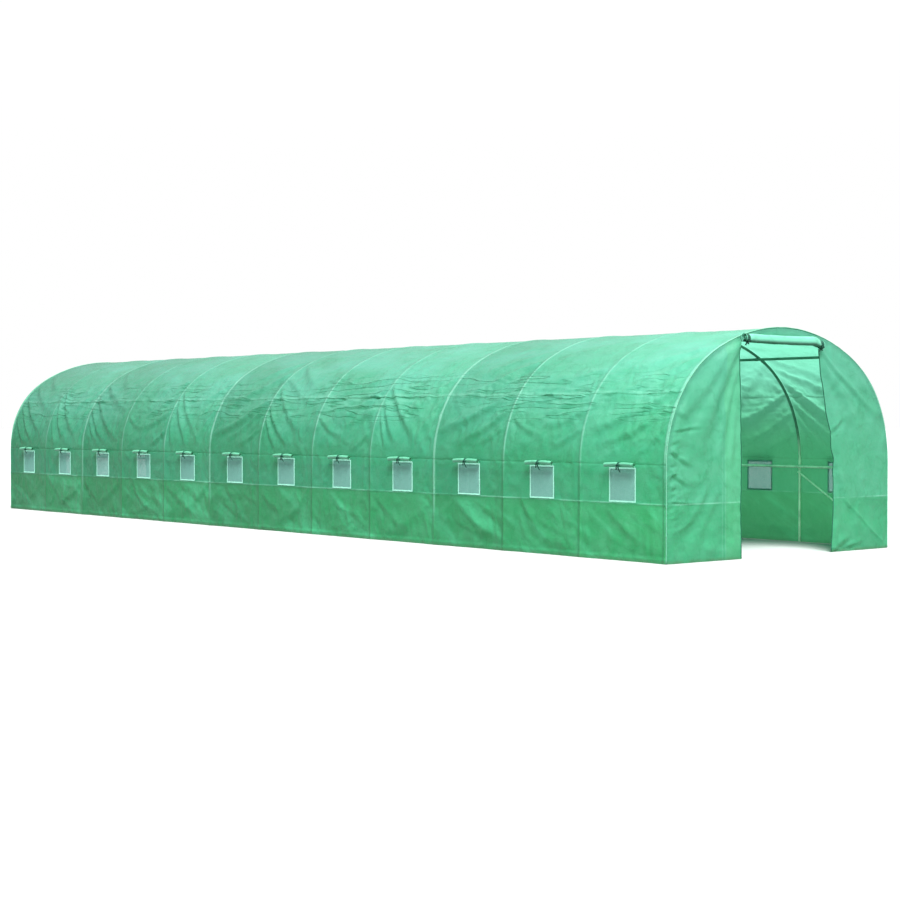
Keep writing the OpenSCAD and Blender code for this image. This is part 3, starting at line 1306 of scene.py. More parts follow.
@dataclass(frozen=True)
class Drape:
    """Relief of the cover over the skin, in metres, outwards positive."""

    tunnel: Tunnel
    contact: float = -0.0040
    ridge_drop: float = 0.0065
    ridge_run: float = 0.030
    sag: float = 0.014
    deepest: float = -0.052
    rail_depth: float = -0.027
    proudest: float = 0.012
    socket_r: float = 0.0150
    rails: tuple[float, ...] = (0.735, 2.069, 2.944)
    seam: ClassVar[float] = 1.458
    order: tuple[Lie, ...] = (
        Lie.DRAGGED, Lie.CRINKLED, Lie.DRAGGED,
        Lie.FANNED, Lie.CRINKLED, Lie.GATHERED, Lie.DRAGGED,
        Lie.FANNED, Lie.CRINKLED, Lie.GATHERED,
        Lie.FANNED, Lie.GATHERED,
    )

    def bay_folds(self, lie: Lie, up: Array, y: Array, near: float, seed: int) -> Array:
        """The folds of one bay, each set off a little from its pattern.

        Args:
            lie: How the bay's cloth lies.
            up: Lengths up the skin.
            y: Places along the tunnel.
            near: The bay's near hoop.
            seed: Seed of the offsets.

        Returns:
            The lift in metres.
        """
        rng = np.random.default_rng(seed)
        warp = 0.035 * Noise(seed)(y * 2.4, up * 2.4) + 0.012 * Noise(seed + 1)(y * 8.0, up * 8.0)
        out = np.zeros(up.shape)
        for fold in lie.folds():
            drift = rng.uniform(-1.0, 1.0, 4)
            start = (fold.start[0] * self.tunnel.bay, fold.start[1] + 0.045 * drift[0])
            end = ((fold.end[0] + 0.05 * drift[2]) * self.tunnel.bay, fold.end[1] + 0.06 * drift[1])
            placed = replace(
                fold, start=start, end=end, bow=fold.bow * (1 + 0.3 * drift[2]),
                height=fold.height * (1 + 0.25 * drift[3]),
            )
            out += placed.relief(y - near, up + warp)
        return out

    def laid_folds(self, up: Array, y: Array, left: Array) -> Array:
        """The folds of every bay, on both sides.

        Args:
            up: Lengths up the skin.
            y: Places along the tunnel.
            left: Which points are on the left side.

        Returns:
            The lift in metres.
        """
        folds = np.zeros(up.shape)
        tunnel, count = self.tunnel, len(self.order)
        hoops = tunnel.hoops
        for side, mask in ((0, left), (1, ~left)):
            if not mask.any():
                continue
            for i in range(count):
                lie = self.order[i if side == 0 else (i + 5) % count]
                near_bay = mask & (np.abs(y - (hoops[i] + hoops[i + 1]) / 2) < 0.7 * tunnel.bay)
                if near_bay.any():
                    seed = 40 + 17 * i + 400 * side
                    folds[near_bay] += self.bay_folds(lie, up[near_bay], y[near_bay], hoops[i], seed)
        return folds

    def add_wrinkles(self, folds: Array, up: Array, y: Array, left: Array) -> None:
        """Adds the smaller relief that runs over all bays: waves, crests, crumples, pleats.

        Args:
            folds: The relief so far, which is added to in place.
            up: Lengths up the skin.
            y: Places along the tunnel.
            left: Which points are on the left side.
        """
        broad = Noise(7)(up * 1.3 + 9 * ~left, y * 0.9)
        drift = Noise(11)(up * 2.2 + 5 * ~left + 1.4 * broad, y * 4.5 + up * 1.2)
        crisp = Noise(23).ridges(up * 5.0 + 7 * ~left + drift, y * 7.0 + 1.5 * broad) - 0.35
        low = smooth_step(0.75, 0.2, up)
        rough = 0.4 + 0.6 * smooth_step(2.3, 1.3, up)
        folds += rough * (0.008 * drift + 0.009 * crisp) + 0.008 * low * broad
        sharp = Noise(29).ridges(up * 11.0 - 3 * y + 5 * drift, y * 8.0 + 3 * broad) - 0.35
        tiny = Noise(43).ridges(up * 19.0 + 4 * broad, y * 13.0 + 5 * drift) - 0.35
        belt = smooth_step(2.1, 1.55, up) * (0.45 + 0.55 * smooth_step(0.7, 1.0, up))
        folds += belt * (0.0060 * sharp + 0.0026 * tiny)
        slant = Noise(31)(up * 3.2 - y * 2.0 + 3 * ~left, y * 1.4 + up * 0.8)
        folds += 0.010 * slant * smooth_step(1.2, 1.9, up) * smooth_step(3.0, 2.2, up)
        folds += 0.009 * low * Noise(37)(up * 7.0 + y * 1.8, y * 2.2 - up)
        crumple = Noise(41)(up * 11.0 + 6 * drift, y * 9.0 - 4 * up) * smooth_step(2.2, 1.5, up)
        folds += 0.0055 * crumple
        pleats = Noise(61).ridges(up * 15.0 + 1.2 * drift + 3 * ~left, y * 1.3 + 2.0 * broad) - 0.3
        pleats *= smooth_step(-0.30, 0.10, Noise(67)(y * 0.8, up * 1.5 + 4 * ~left))
        folds += 0.0085 * pleats * smooth_step(1.12, 1.30, up) * smooth_step(1.86, 1.66, up)

    def hems(self, up: Array) -> Array:
        """Relief of the hem and of the seams along the tunnel.

        Args:
            up: Lengths up the skin.

        Returns:
            The relief in metres.
        """
        hem = 0.004 * smooth_step(0.045, 0.038, up)
        hem = hem + 0.0035 * bell(up, self.tunnel.sill_seam, 0.006)
        hem = hem - 0.0035 * bell(up, self.tunnel.head_seam, 0.007)
        lap = 0.0022 * smooth_step(self.seam - 0.004, self.seam + 0.003, up)
        return hem + lap * smooth_step(self.seam + 0.05, self.seam + 0.035, up)

    def deepest_at(self, up: Array, y: Array, near: Array) -> Array:
        """How far the cloth may sink before it meets a tube, a rail or a brace.

        Args:
            up: Lengths up the skin.
            y: Places along the tunnel.
            near: Distances to the nearest hoop.

        Returns:
            The lowest relief allowed, in metres.
        """
        floor = np.full(up.shape, self.deepest)
        for rail in self.rails:
            clear = smooth_step(0.03, 0.11, np.abs(up - rail))
            floor = np.maximum(floor, self.rail_depth + (self.deepest - self.rail_depth) * clear)
        hoops = self.tunnel.hoops
        braced = np.minimum(y - hoops[0], hoops[-1] - y) < self.tunnel.bay
        braced = braced & (up < self.tunnel.section.leg_h)
        floor = np.where(braced, np.maximum(floor, self.rail_depth), floor)
        tube = self.socket_r - np.sqrt(np.maximum(self.socket_r**2 - near**2, 0.0))
        beside = -0.019 + (self.deepest + 0.019) * smooth_step(0.015, 0.10, near)
        over = np.where(near < self.socket_r, self.contact + 0.0006 - tube, beside)
        return np.maximum(floor, over)

    def height(self, s: Array, y: Array) -> Array:
        """Relief of the cover at points of the skin.

        Args:
            s: Lengths along the skin from the left foot.
            y: Places along the tunnel.

        Returns:
            The relief in metres, outwards positive.
        """
        tunnel, section = self.tunnel, self.tunnel.section
        s, y = np.broadcast_arrays(np.asarray(s, float), np.asarray(y, float))
        left = s < section.half_l
        up = np.minimum(s, 2 * section.half_l - s)
        hoops = np.array(tunnel.hoops)
        bay = np.clip(((y - hoops[0]) / tunnel.bay).astype(int), 0, len(hoops) - 2)
        t = np.clip((y - hoops[bay]) / tunnel.bay, 0.0, 1.0)
        nearest = np.rint((y - hoops[0]) / tunnel.bay).astype(int)
        near = np.abs(y - hoops[np.clip(nearest, 0, len(hoops) - 1)])
        soft = np.sqrt(near**2 + 0.007**2) - 0.007
        out = np.full(s.shape, self.contact)
        out -= self.ridge_drop * (1.0 - np.exp(-soft / self.ridge_run))
        slack = 1.0 - 0.88 * smooth_step(1.6, 2.6, up)
        out -= self.sag * slack * (4 * t * (1 - t)) ** 0.8
        folds = self.laid_folds(up, y, left)
        self.add_wrinkles(folds, up, y, left)
        ends = np.minimum(y - hoops[0], hoops[-1] - y)
        pucker = Noise(53)(y * 9.0, up * 24.0) * smooth_step(0.22, 0.02, ends)
        folds += 0.0090 * pucker * smooth_step(1.5, 1.1, up) * smooth_step(0.35, 0.55, up)
        folds *= 0.18 + 0.82 * smooth_step(0.0, 0.09, near)
        folds += 0.0018 * Noise(59)(y * 20.0, up * 9.0) * smooth_step(0.10, 0.0, near)
        folds *= 1.0 - self.near_window(up, y)
        floor = self.deepest_at(up, y, near)
        lift = out + folds
        lift = np.where(lift > 0, self.proudest * np.tanh(lift / self.proudest), lift)
        lift = np.where(lift < 0, floor * np.tanh(lift / floor), lift)
        return lift + self.hems(up)

    def near_window(self, up: Array, y: Array) -> Array:
        """1 on and close to a window, where the cloth lies flat, and 0 away from it.

        Args:
            up: Lengths up the skin.
            y: Places along the tunnel.

        Returns:
            The share of flatness, from 0 to 1.
        """
        tunnel = self.tunnel
        bay = tunnel.bay
        off = np.abs((y - tunnel.window_ys[0] + bay / 2) % bay - bay / 2)
        beside = smooth_step(tunnel.window_w / 2 + 0.13, tunnel.window_w / 2 + 0.04, off)
        over = smooth_step(tunnel.head + 0.17, tunnel.head + 0.07, up)
        under = smooth_step(tunnel.sill - 0.13, tunnel.sill - 0.04, up)
        return beside * over * under

    def points(self, s: Array, y: Array, proud: float = 0.0) -> Array:
        """Points of the cover.

        Args:
            s: Lengths along the skin.
            y: Places along the tunnel.
            proud: Extra distance outwards.

        Returns:
            Points in the frame, with the shape of s and y and a last axis of 3.
        """
        s, y = np.broadcast_arrays(np.asarray(s, float), np.asarray(y, float))
        x, z, nx, nz = self.tunnel.section.locate(s)
        lift = self.height(s, y) + proud
        return np.stack([x + nx * lift, y, np.maximum(z + nz * lift, 0.0)], -1)


# ---------------------------------------------------------------------------
# Sub-assemblies
# ---------------------------------------------------------------------------

@dataclass
class Cover:
    """The long cover, sewn from four lengths that meet on hoops."""

    tunnel: Tunnel
    drape: Drape
    palette: Palette
    spacing: float = 0.0185
    joints: tuple[int, ...] = (0, 3, 7, 10, 12)
    names: tuple[str, ...] = ("front", "front_middle", "back_middle", "back")

    def lines_along(self, first: int, last: int) -> Array:
        """Grid lines along the tunnel, closer over the hoops, between two hoops.

        Args:
            first: Number of the hoop at the front.
            last: Number of the hoop at the back.

        Returns:
            The lines' places, rising.
        """
        tunnel = self.tunnel
        half = tunnel.length / 2
        low = -half if first == 0 else tunnel.hoops[first]
        high = half if last == len(tunnel.hoops) - 1 else tunnel.hoops[last]
        marks = [low, high]
        for hoop in tunnel.hoops[first : last + 1]:
            marks += [hoop + side * d for side in (-1, 1) for d in (0.0, 0.006, 0.013, 0.024, 0.042)]
        for middle in tunnel.window_ys[first:last]:
            marks += [middle - tunnel.window_w / 2, middle + tunnel.window_w / 2]
        return graded([m for m in marks if low <= m <= high], self.spacing)

    def lines_over(self) -> Array:
        """Grid lines over the arch, from foot to foot.

        Returns:
            The lines' lengths from the left foot, rising.
        """
        tunnel, whole = self.tunnel, 2 * self.tunnel.section.half_l
        marks = [0.0, 0.038, 0.045, tunnel.sill, tunnel.head]
        for line in (tunnel.sill_seam, tunnel.head_seam, self.drape.seam):
            marks += [line - 0.012, line - 0.005, line, line + 0.005, line + 0.012]
        marks += [whole - m for m in marks]
        marks.append(whole / 2)
        return graded(marks, self.spacing)

    def build(self) -> None:
        """Builds the four lengths of the cover."""
        over = self.lines_over()
        lengths = zip(self.names, self.joints, self.joints[1:], self.palette.covers)
        for name, first, last, finish in lengths:
            along = self.lines_along(first, last)
            y, s = np.meshgrid(along, over, indexing="ij")
            points = self.drape.points(s, y)
            piece = make_sheet(f"cover_{name}", points, np.stack([s, y], -1))
            drop_faces(piece, self.in_window)
            nodes = self.stands_for() if first == 0 else ()
            dress(piece, finish, nodes)

    def in_window(self, middles: Array) -> Array:
        """Says which points lie in a window of either wall.

        Args:
            middles: The points, one row for each.

        Returns:
            True for each point in a window.
        """
        tunnel = self.tunnel
        off = np.full(len(middles), 9.0)
        for y in tunnel.window_ys:
            off = np.minimum(off, np.abs(middles[:, 1] - y))
        upright = np.abs(middles[:, 0]) > tunnel.section.half_w - 0.08
        level = (middles[:, 2] > tunnel.sill) & (middles[:, 2] < tunnel.head)
        return upright & level & (off < tunnel.window_w / 2)

    def stands_for(self) -> list[str]:
        """The frame's nodes that the cover replaces."""
        strips = ("wall", "eave", "shoulder", "haunch", "roof", "ridge")
        return [f"cover_{side}_{strip}" for side in ("left", "right") for strip in strips]


@dataclass
class Windows:
    """The screened windows of both walls, with their flaps rolled up and tied."""

    tunnel: Tunnel
    drape: Drape
    palette: Palette
    border_w: float = 0.013
    thread_pitch: float = 0.0032
    thread_w: float = 0.0025
    turns: float = 3.6
    tie_w: float = 0.022

    def wall_x(self, up: float) -> float:
        """Where the left wall's cloth lies at a window, at a height up the wall."""
        return float(self.drape.points(np.array([up]), np.array([self.tunnel.window_ys[0]]))[0, 0])

    def screen(self) -> bpy.types.Object:
        """The screen of the first left window: two layers of crossing threads.

        Returns:
            The screen.
        """
        tunnel = self.tunnel
        lap = 0.010
        w, h = tunnel.window_w + 2 * lap, tunnel.head - tunnel.sill + 2 * lap
        x = self.wall_x((tunnel.sill + tunnel.head) / 2) + 0.0022
        parts = []
        for name, run, reach, gap in (("upright", w, h, 0.0), ("level", h, w, 0.0004)):
            count = int(run / self.thread_pitch)
            deselect()
            bpy.ops.mesh.primitive_grid_add(x_subdivisions=1, y_subdivisions=4, size=1.0)
            thread = bpy.context.active_object
            thread.name = name
            flat = points_of(thread.data)
            side = flat[:, 0] * self.thread_w - run / 2 + self.thread_pitch / 2
            long = flat[:, 1] * reach
            across, high = (side, long) if name == "upright" else (long, side)
            level = (tunnel.sill + tunnel.head) / 2
            placed = np.stack([np.full(len(side), x + gap), across, high + level], -1)
            placed[:, 1] += tunnel.window_ys[0]
            put_points(thread.data, placed)
            step = (0, self.thread_pitch, 0) if name == "upright" else (0, 0, self.thread_pitch)
            apply_modifier(
                thread, "ARRAY", count=count, use_relative_offset=False,
                use_constant_offset=True, constant_offset_displace=step,
            )
            parts.append(thread)
        return join("window_screen", parts)

    def border(self) -> bpy.types.Object:
        """The tape sewn round the first left window, as a frame with soft edges.

        Returns:
            The tape.
        """
        tunnel = self.tunnel
        over = 0.007
        w, h = tunnel.window_w + 2 * over, tunnel.head - tunnel.sill + 2 * over
        level = (tunnel.sill + tunnel.head) / 2
        deselect()
        bpy.ops.mesh.primitive_grid_add(x_subdivisions=12, y_subdivisions=12, size=1.0)
        piece = bpy.context.active_object
        flat = points_of(piece.data)
        y = self.framed(flat[:, 0], w) + tunnel.window_ys[0]
        z = self.framed(flat[:, 1], h) + level
        on_cloth = self.drape.points(z, y)
        x = on_cloth[:, 0] - 0.0016
        wave = Noise(71)(y * 22.0, z * 22.0)
        put_points(piece.data, np.stack([x, y + 0.0022 * wave, z - 0.0022 * wave], -1))
        piece.data.update()
        inner_w, inner_h = w / 2 - self.border_w, h / 2 - self.border_w
        mid_y = tunnel.window_ys[0]
        drop_faces(
            piece,
            lambda m: (np.abs(m[:, 1] - mid_y) < inner_w) & (np.abs(m[:, 2] - level) < inner_h),
        )
        apply_modifier(piece, "SOLIDIFY", thickness=0.0014, offset=0.0)
        face_outwards(piece)
        bpy.ops.object.shade_smooth_by_angle(angle=math.radians(40))
        return join("window_border", [piece])

    def framed(self, flat: Array, size: float) -> Array:
        """Spreads grid lines so that two lie on each edge of the border's frame.

        Args:
            flat: Places on the grid primitive, from -0.5 to 0.5.
            size: The frame's outer size.

        Returns:
            The places on the frame.
        """
        inner = size / 2 - self.border_w
        lines = np.concatenate([[-size / 2], np.linspace(-inner, inner, 11), [size / 2]])
        return lines[np.rint((flat + 0.5) * 12).astype(int)]

    def flap(self) -> bpy.types.Object:
        """The first left window's flap, rolled up as one spiral of cloth.

        Returns:
            The rolled flap.
        """
        tunnel = self.tunnel
        radius = tunnel.flap_d / 2 - 0.001
        turn = np.linspace(0.0, 2 * math.pi * self.turns, int(self.turns * 22) + 1)
        along = np.linspace(-tunnel.flap_l / 2, tunnel.flap_l / 2, 27)
        y, a = np.meshgrid(along, turn, indexing="ij")
        noise = Noise(83)
        pinch = 1.0 - 0.22 * bell(y, 0.0, 0.022)
        size = radius * (1.0 - 0.78 * a / turn[-1]) * pinch * (1.0 + 0.10 * noise(y * 16.0, a * 0.35))
        flat = 1.0 - 0.14 * np.cos(2 * a)
        sag = -0.006 * (np.abs(y) / (tunnel.flap_l / 2)) ** 2
        x = -tunnel.section.half_w - 0.0021 - radius + 0.002 + size * np.cos(a + 0.6) * flat
        z = tunnel.flap_z + sag + size * np.sin(a + 0.6)
        uv = np.stack([a * 0.01, y], -1)
        return make_sheet("window_flap", np.stack([x, y + tunnel.window_ys[0], z], -1), uv)

    def tie(self) -> bpy.types.Object:
        """The strap round the rolled flap, with its knot and two hanging tails.

        Returns:
            The strap.
        """
        tunnel = self.tunnel
        mid_y = tunnel.window_ys[0]
        radius = tunnel.flap_d / 2 * 0.80
        centre_x = -tunnel.section.half_w - 0.0011 - tunnel.flap_d / 2
        turn = np.linspace(0, 2 * math.pi, 25)
        wide = np.linspace(-self.tie_w / 2, self.tie_w / 2, 4)
        y, a = np.meshgrid(wide, turn, indexing="ij")
        squeeze = 1.0 - 0.3 * (y / self.tie_w) ** 2
        loop = np.stack([
            centre_x + (radius + 0.0015) * np.cos(a), mid_y + y * squeeze,
            tunnel.flap_z + (radius + 0.0015) * np.sin(a),
        ], -1)
        band = make_sheet("tie_band", loop)
        apply_modifier(band, "SOLIDIFY", thickness=0.0016, offset=1.0)
        front = centre_x - radius - 0.002
        parts = [band]
        for side, drop, swing in ((-1, 0.066, 0.016), (1, 0.048, 0.026)):
            t = np.linspace(0, 1, 9)
            path_y = mid_y + side * (0.004 + swing * t) + 0.004 * np.sin(5 * t + side)
            path_z = tunnel.flap_z - drop * t
            path_x = front - 0.004 * np.sin(math.pi * t) + 0.012 * t
            half = 0.0085 - 0.002 * t
            edge = np.stack([np.zeros(9), half, 0.25 * half * side], -1)
            middle = np.stack([path_x, path_y, path_z], -1)
            tail = make_sheet(f"tie_tail_{side}", np.stack([middle - edge, middle + edge], 1))
            apply_modifier(tail, "SOLIDIFY", thickness=0.0014, offset=0.0)
            parts.append(tail)
        deselect()
        bpy.ops.mesh.primitive_uv_sphere_add(segments=12, ring_count=8, radius=1.0)
        knot = bpy.context.active_object
        bpy.ops.object.mode_set(mode="EDIT")
        bpy.ops.mesh.select_all(action="SELECT")
        bpy.ops.transform.resize(value=(0.006, 0.013, 0.009))
        bpy.ops.transform.translate(value=(front - 0.001, mid_y, tunnel.flap_z - 0.002))
        bpy.ops.object.mode_set(mode="OBJECT")
        bpy.ops.object.shade_smooth()
        parts.append(knot)
        return join("window_tie", parts)

    def build(self) -> None:
        """Builds one window's pieces and copies them to every window of both walls."""
        tunnel, palette = self.tunnel, self.palette
        kinds = (
            (self.screen(), "screen", palette.thread, "screens"),
            (self.border(), "cover", palette.border, None),
            (self.flap(), "roll", palette.flap, "flaps"),
            (self.tie(), "strap", palette.strap, "ties"),
        )
        for source, slot, material, node in kinds:
            for side in ("left", "right"):
                for i, y in enumerate(tunnel.window_ys):
                    shift = y - tunnel.window_ys[0]
                    mirror = side == "right"

                    def move(points: Array, shift: float = shift, mirror: bool = mirror) -> Array:
                        """Slides a piece along the wall, and mirrors it to the right wall."""
                        return points * [-1 if mirror else 1, 1, 1] + [0, shift, 0]

                    piece = copied(source, f"{source.name}_{side}_{i + 1:02d}", move, mirror)
                    nodes = [f"{side}_window_{node}"] if node and i == 0 else []
                    dress(piece, material, nodes)
            bpy.data.objects.remove(source)


class End(Enum):
    """The two ends of the tunnel, by the sign of Y."""

    FRONT = -1
    BACK = 1


@dataclass
class Gable:
    """One end of the tunnel: two panels, the header, and the rolled-up door."""

    tunnel: Tunnel
    palette: Palette
    end: End
    welt_r: float = 0.0036
    roll_turns: int = 11
    roll_l: float = 1.06
    roll_shift: float = -0.055
    tie_share: float = 0.94
    left_folds: tuple[Fold, ...] = (
        Fold((0.58, 1.90), (1.18, 0.84), 0.04, 0.085, 0.038),
        Fold((0.60, 1.66), (0.90, 0.74), 0.03, 0.045, 0.018),
        Fold((0.74, 1.80), (1.38, 1.20), -0.04, 0.055, 0.021),
        Fold((0.60, 1.50), (0.72, 0.66), 0.02, 0.030, 0.010),
        Fold((1.46, 1.11), (1.04, 1.13), 0.0, 0.014, 0.010),
        Fold((1.47, 0.502), (1.04, 0.498), 0.0, 0.010, 0.007),
        Fold((1.00, 0.66), (1.47, 0.20), -0.07, 0.050, 0.013),
        Fold((1.47, 0.96), (1.16, 0.80), -0.02, 0.018, 0.014),
        Fold((1.47, 0.78), (1.20, 0.64), -0.02, 0.016, 0.013),
        Fold((1.47, 1.38), (1.22, 1.20), -0.02, 0.020, 0.012),
        Fold((0.86, 0.62), (1.30, 0.10), -0.05, 0.060, 0.008),
    )
    right_folds: tuple[Fold, ...] = (
        Fold((0.46, 1.83), (1.34, 1.22), -0.02, 0.026, 0.012),
        Fold((0.50, 1.72), (1.20, 0.92), 0.02, 0.060, 0.014),
        Fold((0.62, 1.07), (0.86, 1.24), 0.0, 0.020, 0.014),
        Fold((0.80, 0.50), (1.52, -0.01), 0.0, 0.012, 0.011, 0.0),
        Fold((0.66, 0.90), (0.92, 0.40), 0.0, 0.040, 0.012),
        Fold((0.66, 0.02), (0.92, 0.16), 0.0, 0.030, 0.016),
        Fold((0.80, 0.03), (1.14, 0.10), 0.0, 0.024, 0.010),
    )

    @property
    def prefix(self) -> str:
        """The beginning of the names of this gable's pieces and nodes."""
        return self.end.name.lower()

    def place(self, x: Array, out: Array, z: Array) -> Array:
        """Points of this gable.

        Args:
            x: Places across the gable, seen from outside at the front, so that the
                back gable is the front one turned round.
            out: Distances out of the gable's plane.
            z: Heights.

        Returns:
            Points in the frame.
        """
        sign = self.end.value
        half = self.tunnel.length / 2
        return np.stack(np.broadcast_arrays(-sign * x, sign * (half + out), z), -1)

    def door_edge(self, side: int, z: Array) -> Array:
        """How far from the middle a panel's door edge lies at a height.

        Args:
            side: -1 for the panel left of the doorway, 1 for the right one.
            z: Heights.

        Returns:
            The distances.
        """
        half = self.tunnel.door_w / 2
        if side < 0:
            return half - 0.022 + 0.004 * np.sin(z * 5.0)
        lean = np.interp(
            z, [0.0, 0.08, 0.47, 0.83, 0.93, 1.05, 1.09, 1.25, 1.48, 1.68, 1.88],
            [0.045, 0.050, 0.073, 0.080, 0.045, 0.040, 0.032, -0.027, -0.075, -0.125, -0.150],
        )
        return half + lean

    def panel_relief(self, side: int, x: Array, z: Array, room: Array) -> Array:
        """Relief of a panel beside the doorway.

        Args:
            side: -1 for the panel left of the doorway, 1 for the right one.
            x: Places across, as distances from the middle.
            z: Heights.
            room: Distance to the hoop, where the cloth has to lie flat.

        Returns:
            Distances outwards from the gable's plane.
        """
        seed = 211 + 30 * side + 5 * self.end.value
        broad = Noise(seed)(x * 2.0, z * 1.3)
        fine = Noise(seed + 1).ridges(x * 5.0 + broad, z * 7.0) - 0.35
        slant = Noise(seed + 2)(x * 5.5 + z * 2.6, z * 1.2 - x)
        crumple = Noise(seed + 3)(x * 12.0 + 2 * broad, z * 10.0)
        out = 0.012 * broad + 0.005 * fine + 0.010 * slant + 0.004 * crumple
        out = out * (1.0 if side < 0 else 0.5)
        warp = 0.03 * Noise(seed + 4)(x * 2.5, z * 2.5)
        for fold in self.left_folds if side < 0 else self.right_folds:
            out = out + fold.relief(x, z + warp)
        gap = x - self.door_edge(side, z)
        if side < 0:
            out = out + 0.0035 * bell(gap, 0.20, 0.007) + 0.0025 * bell(gap, 0.235, 0.005)
            pucker = Noise(seed + 5)(x * 9.0, z * 21.0) + 0.6 * Noise(seed + 6)(x * 15.0, z * 33.0)
            out = out + 0.022 * pucker * smooth_step(1.26, 1.43, x) * bell(z, 0.72, 0.42)
        else:
            rumple = Noise(seed + 6).ridges(x * 9.0, z * 16.0) - 0.4
            out = out + 0.012 * rumple * smooth_step(0.16, 0.05, z) * smooth_step(1.2, 0.9, x)
            out = out + 0.010 * bell(gap, 0.05, 0.05) * np.sin(z * 4.2 + 0.6)
        hold = smooth_step(0.0, 0.10, room)
        crest = 0.0035 * smooth_step(0.05, 0.0, room)
        return -0.004 + crest + 0.030 * np.tanh((out * hold) / 0.030) + 0.010 * hold

    def panel(self, side: int) -> bpy.types.Object:
        """A panel beside the doorway.

        Args:
            side: -1 for left of the doorway seen from outside, 1 for right.

        Returns:
            The panel.
        """
        tunnel, section = self.tunnel, self.tunnel.section
        outer = section.half_w - 0.003
        inner = float(self.door_edge(side, np.array([tunnel.door_h]))[0])
        ease = np.linspace(0.0, 1.0, 86)
        share = np.sin(ease * math.pi / 2) ** 0.85
        levels = np.linspace(0.0, 1.0, 140)
        u, v = np.meshgrid(share, levels, indexing="xy")
        straight = inner + (outer - inner) * u
        z = v * (section.top_at(straight) - 0.004)
        shift = (self.door_edge(side, z) - inner) * (1.0 - u)
        x = straight + shift
        room = self.room_to_hoop(x, z)
        out = self.panel_relief(side, x, z, room)
        points = self.place(side * x, out, z)
        uv = np.stack([z, x], -1)
        if side * self.end.value > 0:
            points, uv = points[:, ::-1], uv[:, ::-1]
        word = "right" if side > 0 else "left"
        piece = make_sheet(f"{self.prefix}_gable_{word}_sheet", points[:, ::-1], uv[:, ::-1])
        node_side = word if self.end is End.FRONT else ("left" if side > 0 else "right")
        finish = self.palette.gable if side > 0 else self.palette.banded
        dress(piece, finish, [f"{self.prefix}_gable_{node_side}"])
        tall = float(section.top_at(np.array([tunnel.door_w / 2]))[0])
        return piece

    def room_to_hoop(self, x: Array, z: Array) -> Array:
        """Distance from points of the gable to the skin's outline.

        Args:
            x: Places across, as distances from the middle.
            z: Heights.

        Returns:
            The distances, never below 0.
        """
        section = self.tunnel.section
        side_x, side_z = section.half_w - section.side_r, section.leg_h
        beside = section.half_w - x
        arc = section.side_r - np.hypot(x - side_x, z - side_z)
        crown = section.crown_r - np.hypot(x, z - (section.height - section.crown_r))
        upper = np.where(x > section.crown_r * math.sin(section.crown_half) * 0.98, arc, crown)
        return np.maximum(np.where(z < side_z, beside, upper), 0.0)

    def header(self) -> bpy.types.Object:
        """The cloth between the doorway and the ridge.

        Returns:
            The header.
        """
        tunnel, section = self.tunnel, self.tunnel.section
        half = tunnel.door_w / 2 + 0.004
        across = np.linspace(-half, half, 60)
        levels = np.linspace(0.0, 1.0, 12)
        x, v = np.meshgrid(across, levels, indexing="xy")
        low = tunnel.door_h + 0.012 + 0.004 * np.sin(x * 9.0)
        z = low + v * (section.top_at(x) - 0.004 - low)
        noise = Noise(301 + self.end.value)
        slack = 4 * v * (1 - v)
        out = -0.003 + 0.006 * slack * noise(x * 6.0, v * 2.5) + 0.004 * slack
        points = self.place(x, out, z)
        uv = np.stack([z, x], -1)
        piece = make_sheet(f"{self.prefix}_header_sheet", points, uv)
        dress(piece, self.palette.gable, [f"{self.prefix}_header"])
        return piece

    def roll_centre(self, x: Array) -> tuple[Array, Array]:
        """Distance out of the gable and height of the roll's middle, across the door.

        Args:
            x: Places across the gable.

        Returns:
            The distances out and the heights.
        """
        tunnel = self.tunnel
        share = (x - self.roll_shift) / (self.roll_l / 2)
        z = tunnel.roll_z + 0.004 - 0.006 * (1 - share**2) - 0.034 * smooth_step(0.72, 1.0, share)
        return np.full(np.shape(x), -tunnel.roll_y - tunnel.length / 2), z

    def roll(self) -> bpy.types.Object:
        """The door, rolled up as one spiral of cloth under the header.

        Returns:
            The rolled door.
        """
        tunnel = self.tunnel
        radius = tunnel.roll_d / 2
        turn = np.linspace(0.0, 2 * math.pi * self.roll_turns, self.roll_turns * 26 + 1)
        along = self.roll_shift + np.linspace(-self.roll_l / 2, self.roll_l / 2, 71)
        x, a = np.meshgrid(along, turn, indexing="ij")
        noise = Noise(311 + self.end.value)
        share = (x - self.roll_shift) / (self.roll_l / 2)
        pinch = 1.0 - 0.36 * bell(np.abs(share), self.tie_share, 0.040)
        taper = 1.0 - 0.22 * smooth_step(0.80, 1.0, share)
        lumps = 1.0 + 0.16 * noise(x * 4.0, a * 0.32) + 0.07 * noise(x * 13.0, a * 0.8)
        layer = 1.0 - 0.80 * a / turn[-1]
        size = radius * layer * pinch * taper * np.minimum(lumps, 1.03)
        out, z = self.roll_centre(x)
        flat = 1.0 - 0.10 * np.cos(2 * a)
        start = math.pi / 2 + 0.35
        out = out - 0.001 + size * np.cos(start - a) * (2 - flat) * 0.9
        z = z + size * np.sin(start - a) * flat
        points = self.place(x, out, z)
        uv = np.stack([a * 0.028, x], -1)
        piece = make_sheet(f"{self.prefix}_door_sheet", points, uv)
        dress(piece, self.palette.roll, [f"{self.prefix}_door_roll"])
        return piece

